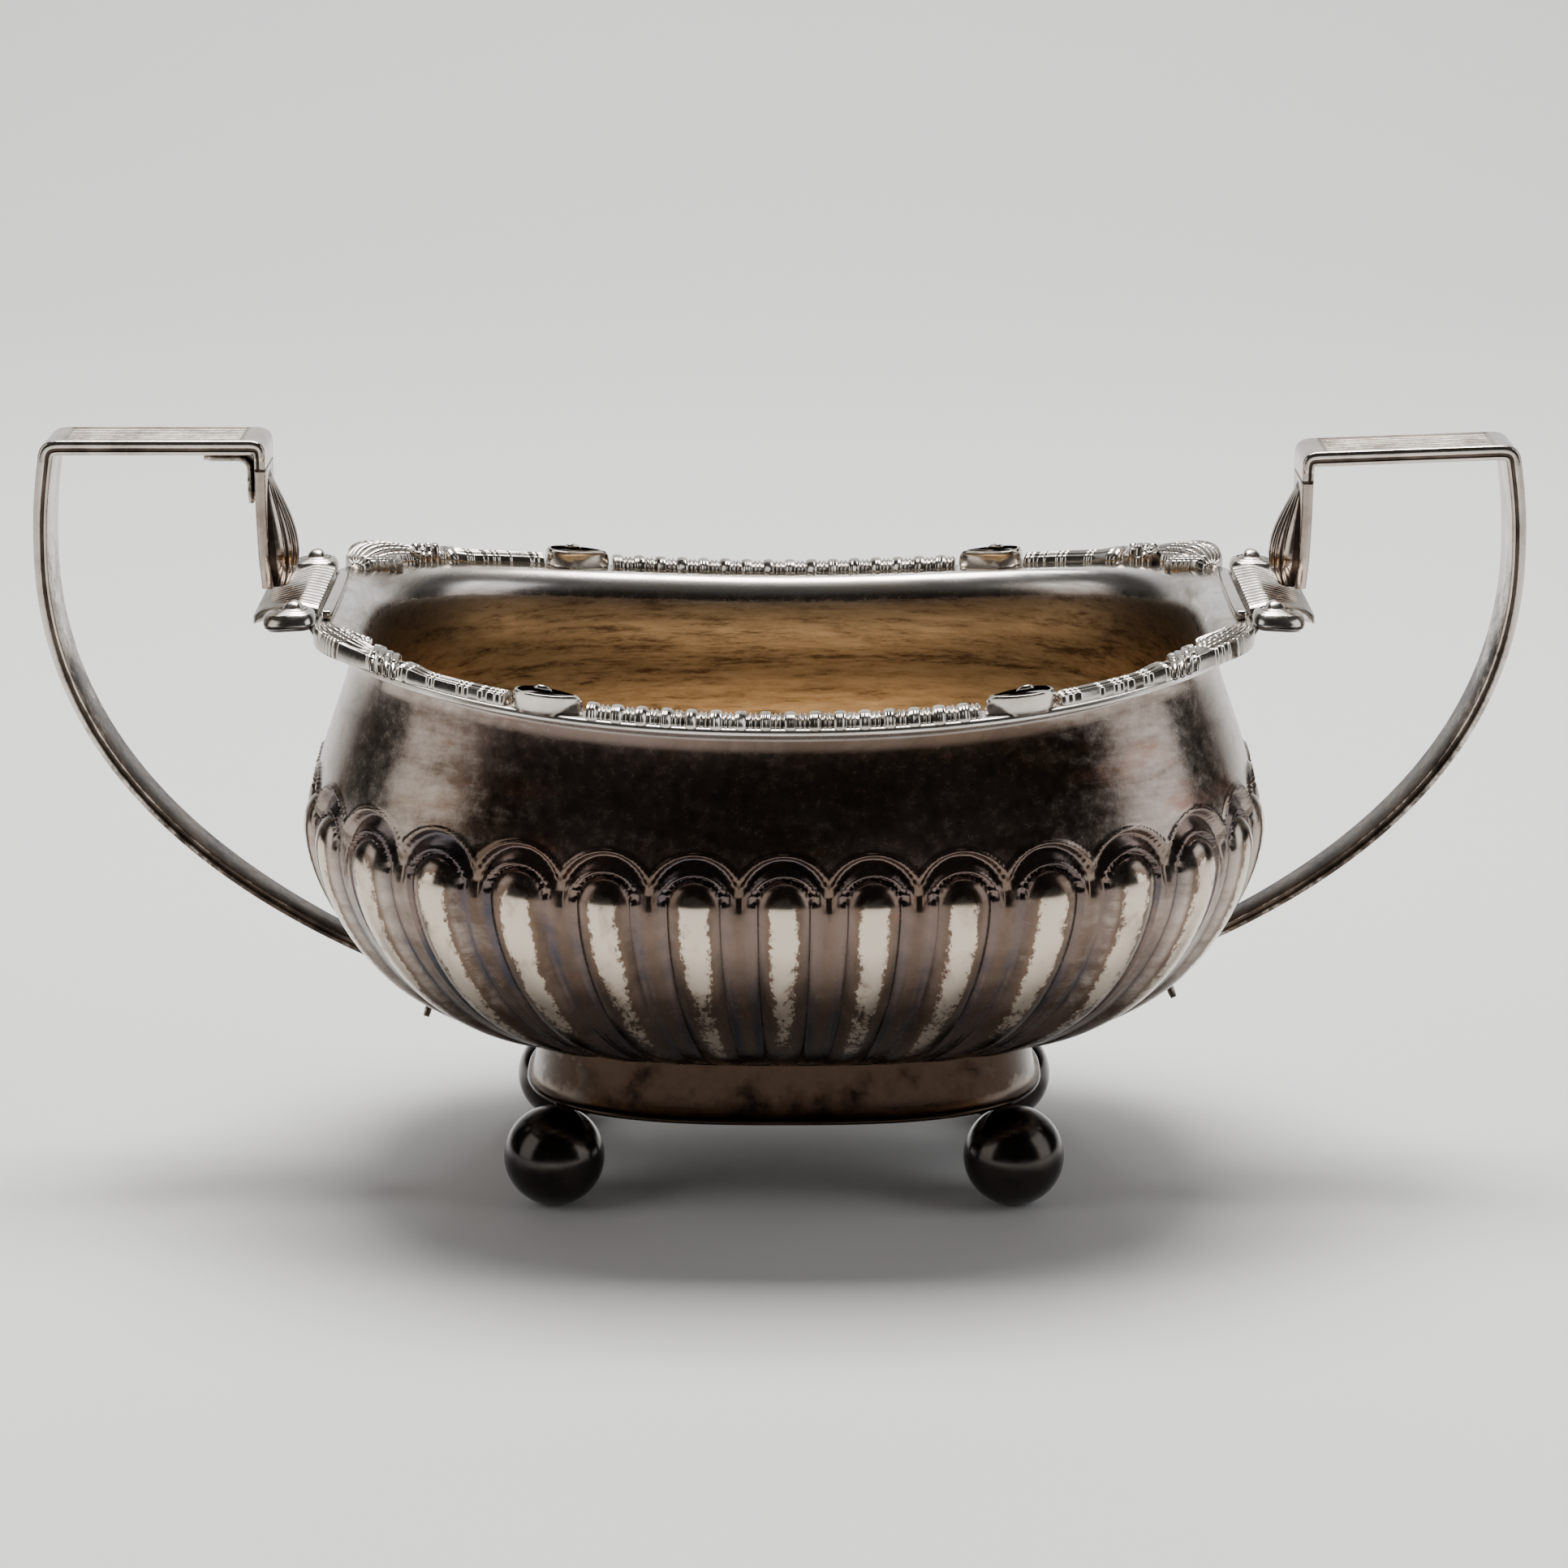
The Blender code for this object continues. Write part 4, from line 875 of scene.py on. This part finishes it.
# A scroll rolled up beside the handle's socket: a smooth stout roll round a stepped eye
def makeEndScrolls(finish, side, sx, face, sy):
    e = endScroll
    form = bmesh.new()
    low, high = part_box(f"end_scroll_{face}_{side}")
    eye = Vector((sx * (bowl["rimLength"] / 2 + e["eyeOut"]), (low.y + high.y) / 2, low.z + 0.4 * mm))
    outline = []
    for k in range(44):
        turn = 2 * math.pi * k / 44
        c, d = math.cos(turn), math.sin(turn)
        reach = e["outward"] if c > 0 else e["inward"]
        outline.append((reach * math.copysign(abs(c) ** 0.85, c),
                        e["half"] * math.copysign(abs(d) ** 0.85, d)))
    steps = [(0.60, -1.2), (0.84, -1.05), (0.96, -0.6), (1.01, 0.0), (1.0, 0.6), (0.95, 1.15), (0.87, 1.45),
             (0.80, 1.5), (0.755, 1.2), (0.72, 1.4), (0.66, 1.65), (0.60, 1.65), (0.56, 1.35), (0.52, 1.6),
             (0.47, 1.8), (0.42, 1.8), (0.385, 1.5), (0.36, 1.8), (0.31, 2.3), (0.22, 2.65), (0.12, 2.8),
             (0.04, 2.85)]

    def place(along, out, up):
        return eye + Vector((sx * along, out, up * mm - 0.10 * max(0.0, along)))
    terraces(form, outline, steps, place)
    finishPiece(f"endScroll{face.title()}{side.title()}", form, finish,
                [f"end_scroll_{face}_{side}"])


def makeEndBars(finish, side, sx):
    low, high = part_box(f"end_bar_{side}")
    size = high - low
    form = bmesh.new()
    placed = Matrix.Translation((low + high) / 2) @ Matrix.Diagonal((*size, 1))
    bmesh.ops.create_cube(form, size=1, matrix=placed)
    bmesh.ops.bevel(form, geom=form.edges[:], offset=0.42 * mm, segments=4, profile=0.5, material=-1,
                    affect="EDGES")
    long = [e for e in form.edges if abs(e.verts[0].co.y - e.verts[1].co.y) > size.y * 0.5]
    bmesh.ops.subdivide_edges(form, edges=long, cuts=14)
    for dot in form.verts:
        bow = 1 - (dot.co.y / (size.y / 2)) ** 2
        dot.co.z += 0.25 * mm * bow * (dot.co.z > (low.z + high.z) / 2)
        dot.co.x -= sx * 0.25 * mm * bow
    finishPiece(f"endBar{side.title()}", form, finish, [f"end_bar_{side}"], 45)


socket = {"reeds": 15, "rows": 20, "reedDeep": 0.30 * mm, "droop": 2.3 * mm, "taper": 0.3, "thick": 1.6 * mm}


# The reeded plate under the upright: its reeds run out from the rim and draw together at the outer edge
def makeSockets(finish, side, sx):
    s = socket
    low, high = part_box(f"socket_plate_{side}")
    start, end = min(abs(low.x), abs(high.x)), max(abs(low.x), abs(high.x))
    half = high.y
    rimEnd = bowl["rimLength"] / 2
    per = 6
    form = bmesh.new()
    bmesh.ops.create_grid(form, x_segments=s["rows"], y_segments=s["reeds"] * per, size=0.5)
    for dot in form.verts:
        t, across = dot.co.x + 0.5, dot.co.y * 2
        x = start + (end - start) * t
        past = max(0.0, x - rimEnd) / (end - rimEnd)
        wide = half * (1 - s["taper"] * t ** 2)
        wave = abs(math.sin(math.pi * (across + 1) / 2 * s["reeds"])) ** 0.7
        top = bowl["rimHeight"] + saddle(x) + 0.3 * mm + s["thick"] - s["droop"] * past ** 1.3
        roll = 0.5 * mm * smooth(0.86, 1.0, t) + 0.45 * mm * smooth(0.92, 1.0, abs(across))
        dot.co = (sx * x, across * wide, top - s["reedDeep"] * (1 - wave) - roll)
    grown = bmesh.ops.extrude_face_region(form, geom=form.faces[:])["geom"]
    for dot in (g for g in grown if isinstance(g, bmesh.types.BMVert)):
        past = max(0.0, abs(dot.co.x) - rimEnd) / (end - rimEnd)
        dot.co.z = bowl["rimHeight"] + saddle(dot.co.x) + 0.3 * mm - s["droop"] * past ** 1.3
    finishPiece(f"socketPlate{side.title()}", form, finish, [f"socket_plate_{side}"], 60)


# The handles

handle = {
    "width": 11.2 * mm, "thick": 2.1 * mm, "reach": 38.0 * mm, "rise": 23.0 * mm, "cornerRadius": 2.2 * mm,
    "bowDrop": 17.0 * mm, "bowLean": 1.3 * mm, "footHeight": 31.8 * mm, "footRun": 3.4 * mm,
    "footThick": 1.3 * mm, "lowWidth": 6.0 * mm, "lowThick": 1.5 * mm, "tipWidth": 4.0 * mm,
    "tipStep": 0.608 * mm, "tipTurn": 8.0, "uprightThick": 2.0 * mm,
    "leafDeep": 3.1 * mm, "inset": 0.2 * mm, "socketReach": 7.1 * mm, "reeds": 7, "reedDeep": 0.30 * mm,
    "postThick": 1.6 * mm, "turnDown": 3.4 * mm, "turnRadius": 1.5 * mm,
}
handSet = {
    "left": {"innerDrop": 0.0, "outerDrop": 0.0, "footLift": 0.0, "bowIn": 0.0},
    "right": {"innerDrop": 1.7 * mm, "outerDrop": 0.6 * mm, "footLift": 2.8 * mm, "bowIn": 1.2 * mm},
}
handleTop = bowl["rimHeight"] + bowl["rimRise"] + handle["rise"]
handleOuter = bowl["rimLength"] / 2 + handle["reach"] - handle["thick"] / 2
uprightOuter = bowl["rimLength"] / 2 + handle["socketReach"] - handle["inset"]
barStart = uprightOuter - handle["uprightThick"] - 0.4 * mm


# A point that far off the bowl's end, square to its surface, in X and Z
def besideBody(height, away):
    def skin(level):
        fade = min(1.0, 0.45 + 0.55 * (level - bowl["seamHeight"]) / (10 * mm))
        x = bodyHalf(bowl["bellyLength"], bowl["neckLength"], footLength, level) + 1.2 * mm * fade
        return Vector((x, level + riseShare(level) * saddle(x)))
    along = (skin(height + 0.2 * mm) - skin(height - 0.2 * mm)).normalized()
    return skin(height) + Vector((along.y, -along.x)) * away


def bezier(a, b, c, d, t):
    s = 1 - t
    return a * s ** 3 + b * (3 * s * s * t) + c * (3 * s * t * t) + d * t ** 3


def barCentre(x, lean):
    share = (x - barStart) / (handleOuter - barStart)
    droop = lean["innerDrop"] + (lean["outerDrop"] - lean["innerDrop"]) * share
    return handleTop - handle["thick"] / 2 - droop


# Stations of the strap from the top bar to the foot's tip: point, width, thickness, how reeded
def strapStations(lean):
    h = handle
    bow = Vector((handleOuter - lean["bowIn"], handleTop - h["bowDrop"]))
    corner = Vector((bow.x - h["bowLean"], barCentre(handleOuter, lean)))
    post = uprightOuter - h["postThick"] / 2
    start = Vector((post, barCentre(post, lean)))
    runIn, runOut = (start - corner).normalized(), (bow - corner).normalized()
    pad = 2.4 * mm
    length = (corner - start).length
    found = []
    down = start - Vector((0, h["turnDown"]))
    under, over = start - Vector((0, h["turnRadius"])), start - runIn * h["turnRadius"]
    for i in range(4):
        found.append((down.lerp(under, i / 4), h["width"] * 0.97, h["postThick"], 0.0))
    for i in range(8):
        thick = h["postThick"] + (h["thick"] - h["postThick"]) * i / 7
        point = bezier(under, under.lerp(start, 0.85), over.lerp(start, 0.85), over, i / 8)
        found.append((point, h["width"], thick, 0.0))
    first = h["turnRadius"] / length
    bar = [start.lerp(corner, first + i / 40 * (1 - first - h["cornerRadius"] / length)) for i in range(41)]
    for point in bar:
        along = (point - start).length
        reeded = smooth(pad, pad + 0.4 * mm, along) * smooth(pad, pad + 0.4 * mm, length - along)
        found.append((point, h["width"], h["thick"], reeded))
    a, b = corner + runIn * h["cornerRadius"], corner + runOut * h["cornerRadius"]
    for i in range(1, 8):
        point = bezier(a, a.lerp(corner, 0.85), b.lerp(corner, 0.85), b, i / 8)
        found.append((point, h["width"], h["thick"], 0.0))
    swell = h["bowLean"] * 0.25
    fall = [corner.lerp(bow, 0.13 + 0.87 * i / 8) + Vector((swell * math.sin(math.pi * i / 8), 0))
            for i in range(9)]
    footHeight = h["footHeight"] + lean["footLift"]
    footEnd = besideBody(footHeight, 0.3 * mm + h["lowThick"] / 2)
    drop, reach = bow.y - footEnd.y, bow.x - footEnd.x
    high, low = bow - Vector((0, drop * 0.47)), footEnd + Vector((reach * 0.56, drop * 0.207))
    fall += [bezier(bow, high, low, footEnd, i / 60) for i in range(1, 60)]
    run = [0.0]
    for before, after in zip(fall, fall[1:]):
        run.append(run[-1] + (after - before).length)
    for point, way in zip(fall, run):
        share = way / run[-1]
        found.append((point, h["width"] + (h["lowWidth"] - h["width"]) * share,
                      h["thick"] + (h["lowThick"] - h["thick"]) * share,
                      smooth(0.03, 0.06, share) * (1 - smooth(0.86, 0.97, share))))
    for i in range(8):
        t = i / 7
        thick = h["lowThick"] + (h["footThick"] - h["lowThick"]) * t
        point = besideBody(footHeight - h["footRun"] * t, 0.3 * mm + thick / 2)
        found.append((point, h["lowWidth"], thick, 0.0))
    place = found[-1][0]
    before = found[-2][0]
    heading = math.atan2(place.y - before.y, place.x - before.x)
    for i in range(10):
        heading += math.radians(h["tipTurn"])
        place = place + Vector((math.cos(heading), math.sin(heading))) * h["tipStep"]
        width = h["lowWidth"] + (h["tipWidth"] - h["lowWidth"]) * (i + 1) / 10
        found.append((place, width, h["footThick"] * (1 - 0.036 * i), 0.0))
    return found


# The strap's section: reeds on the outer face between bright edges, a flat face with a fine line inside
def strapSection(width, thick, reeded):
    h = handle
    dots = []
    fine = h["reeds"] * 6
    inner = width / 2 - 0.95 * mm
    for k in range(fine + 1):
        a = -1 + 2 * k / fine
        wave = abs(math.sin(math.pi * (a + 1) / 2 * h["reeds"])) ** 0.7
        bright = 0.54 + (0.34 + 0.26 * smooth(0.42, 0.85, wave) - 0.54) * reeded
        dots.append((a * inner, thick / 2 - 0.02 * mm - h["reedDeep"] * (1 - wave) * reeded, bright))
    edge = [(-0.55, 0.5, 0.5), (-0.2, 0.47, 0.6), (-0.03, 0.36, 0.62), (0.0, 0.18, 0.6), (-0.05, 0.02, 0.5),
            (-0.24, -0.08, 0.36), (-0.24, -0.2, 0.36), (-0.05, -0.27, 0.5), (-0.05, -0.42, 0.58),
            (-0.25, -0.5, 0.5)]
    right = [(width / 2 + x * mm, y * thick, bright) for x, y, bright in edge]
    left = [(-x, y, bright) for x, y, bright in right[::-1]]
    return dots + right + left


def sweepStrap(form, stations, sx, section):
    rings = []
    last = len(stations) - 1
    for i, (point, width, thick, reeded) in enumerate(stations):
        before, after = stations[max(0, i - 1)][0], stations[min(last, i + 1)][0]
        into = (point - before).normalized() if i else (after - point).normalized()
        onward = (after - point).normalized() if i < last else into
        along = (into + onward).normalized()
        square = Vector((-along.y, along.x)) / max(0.6, along.dot(into))
        rings.append([(sx * (point + square * up).x, across, (point + square * up).y, bright)
                      for across, up, bright in section(width, thick, reeded)])
    sweep(form, rings)


def makeStraps(finish, side, sx):
    form = bmesh.new()
    form.verts.layers.float.new("worn")
    sweepStrap(form, strapStations(handSet[side]), sx, strapSection)
    finishPiece(f"handleStrap{side.title()}", form, finish, [f"handle_strap_{side}"], 50)


# The post from the socket plate to the top bar, and on its inner side a pointed leaf of seven reeds
def makeUprights(finish, side, sx):
    h = handle
    low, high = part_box(f"handle_upright_{side}")
    base, top = low.z, high.z + h["thick"] / 2 + 0.3 * mm - h["turnDown"]
    form = bmesh.new()
    rows = 44
    rings = []
    for i in range(rows + 1):
        t = i / rows
        height = base + (top - base) * t
        swell = math.sin(math.pi * min(1.0, (0.10 + 0.90 * t) / 0.94) ** 0.75) if t < 0.94 else 0.0
        face = uprightOuter - 0.5 * mm * (1 - t) ** 2
        back = face - h["postThick"]
        half = h["width"] / 2 * (0.80 + 0.20 * smooth(0.0, 0.3, t))
        leafHalf = half * (0.30 + 0.66 * swell ** 0.8)
        ring = [(face - 0.35 * mm, -half), (face - 0.05 * mm, -half + 0.35 * mm)]
        ring += [(face - 0.0 * mm, -half * 0.6), (face, 0.0), (face, half * 0.6)]
        ring += [(face - 0.05 * mm, half - 0.35 * mm), (face - 0.35 * mm, half), (back + 0.3 * mm, half)]
        ring += [(back, half - 0.3 * mm), (back, leafHalf + 0.1 * mm)]
        fine = h["reeds"] * 6
        for k in range(fine + 1):
            a = 1 - 2 * k / fine
            wave = abs(math.sin(math.pi * (a + 1) / 2 * h["reeds"])) ** 0.7
            bulge = h["leafDeep"] * swell * max(0.0, 1 - a * a) ** 0.55
            ring.append((back - bulge - 0.50 * mm * swell * wave * max(0.0, 1 - a * a) ** 0.3, a * leafHalf))
        ring += [(back, -leafHalf - 0.1 * mm), (back, -half + 0.3 * mm), (back + 0.3 * mm, -half)]
        rings.append([(sx * x, y, height) for x, y in ring])
    sweep(form, rings)
    finishPiece(f"handleUpright{side.title()}", form, finish, [f"handle_upright_{side}"], 60)


repair = {"thick": 0.7 * mm, "width": 9.8 * mm, "arm": 6.4 * mm, "bend": 1.6 * mm}


# The lapped plate in the left handle's inner corner, with an uneven edge of old solder
def makeRepair(finish):
    r = repair
    low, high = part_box("handle_repair_plate_left")
    inner = high.z - r["thick"] / 2
    corner = Vector((abs(high.x) + r["thick"] / 2, inner))
    dots = [corner + Vector((r["arm"] * (1 - i / 10) + r["bend"] * i / 10, 0)) for i in range(11)]
    for i in range(1, 8):
        turn = math.pi / 2 * i / 8
        dots.append(corner + Vector((r["bend"] * (1 - math.sin(turn)), -r["bend"] * (1 - math.cos(turn)))))
    dots += [corner - Vector((0, r["bend"] + (r["arm"] - r["bend"]) * i / 10)) for i in range(11)]
    form = bmesh.new()
    stations = []
    for i, dot in enumerate(dots):
        uneven = 1 + 0.06 * noise.noise(Vector((i * 0.6, 2.1, 0.0)))
        end = 0.8 + 0.2 * smooth(0, 3, min(i, len(dots) - 1 - i))
        stations.append((dot, r["width"] * uneven * end, r["thick"], 0.0))

    def section(width, thick, _):
        return [(-width / 2, -0.1 * thick, 0), (-width / 2 + 0.3 * mm, 0.45 * thick, 0), (0, 0.5 * thick, 0),
                (width / 2 - 0.3 * mm, 0.45 * thick, 0), (width / 2, -0.1 * thick, 0),
                (width / 2 - 0.3 * mm, -0.5 * thick, 0), (-width / 2 + 0.3 * mm, -0.5 * thick, 0)]
    sweepStrap(form, stations, -1, section)
    finishPiece("handleRepairPlate", form, finish, ["handle_repair_plate_left"], 60)


# Everything in its place

makeCamera(camera)
makeLamps()
makeStudio(studio)
print("camera, lamps and floor made")
makeBody()
print("bowl made")
makeFoot()
makeBalls()
print("foot made")
borderFinish = castFinish("borderSilver", castTones["border"])
handleFinish = castFinish("handleSilver", castTones["handle"])
leafFinish = castFinish("leafSilver", castTones["leaf"])
makeGadroons(borderFinish)
for sideName, sideSign in sides.items():
    for faceName, faceSign in faces.items():
        makeVolutes(borderFinish, sideName, sideSign, faceName, faceSign)
        makeBranches(borderFinish, sideName, sideSign, faceName, faceSign)
        makeCorners(borderFinish, sideName, sideSign, faceName, faceSign)
        makeEndScrolls(borderFinish, sideName, sideSign, faceName, faceSign)
    makeEndBars(borderFinish, sideName, sideSign)
    makeSockets(borderFinish, sideName, sideSign)
print("border made")
for sideName, sideSign in sides.items():
    makeStraps(handleFinish, sideName, sideSign)
    makeUprights(leafFinish, sideName, sideSign)
makeRepair(castFinish("repairSolder", castTones["repair"]))
print("handles made")
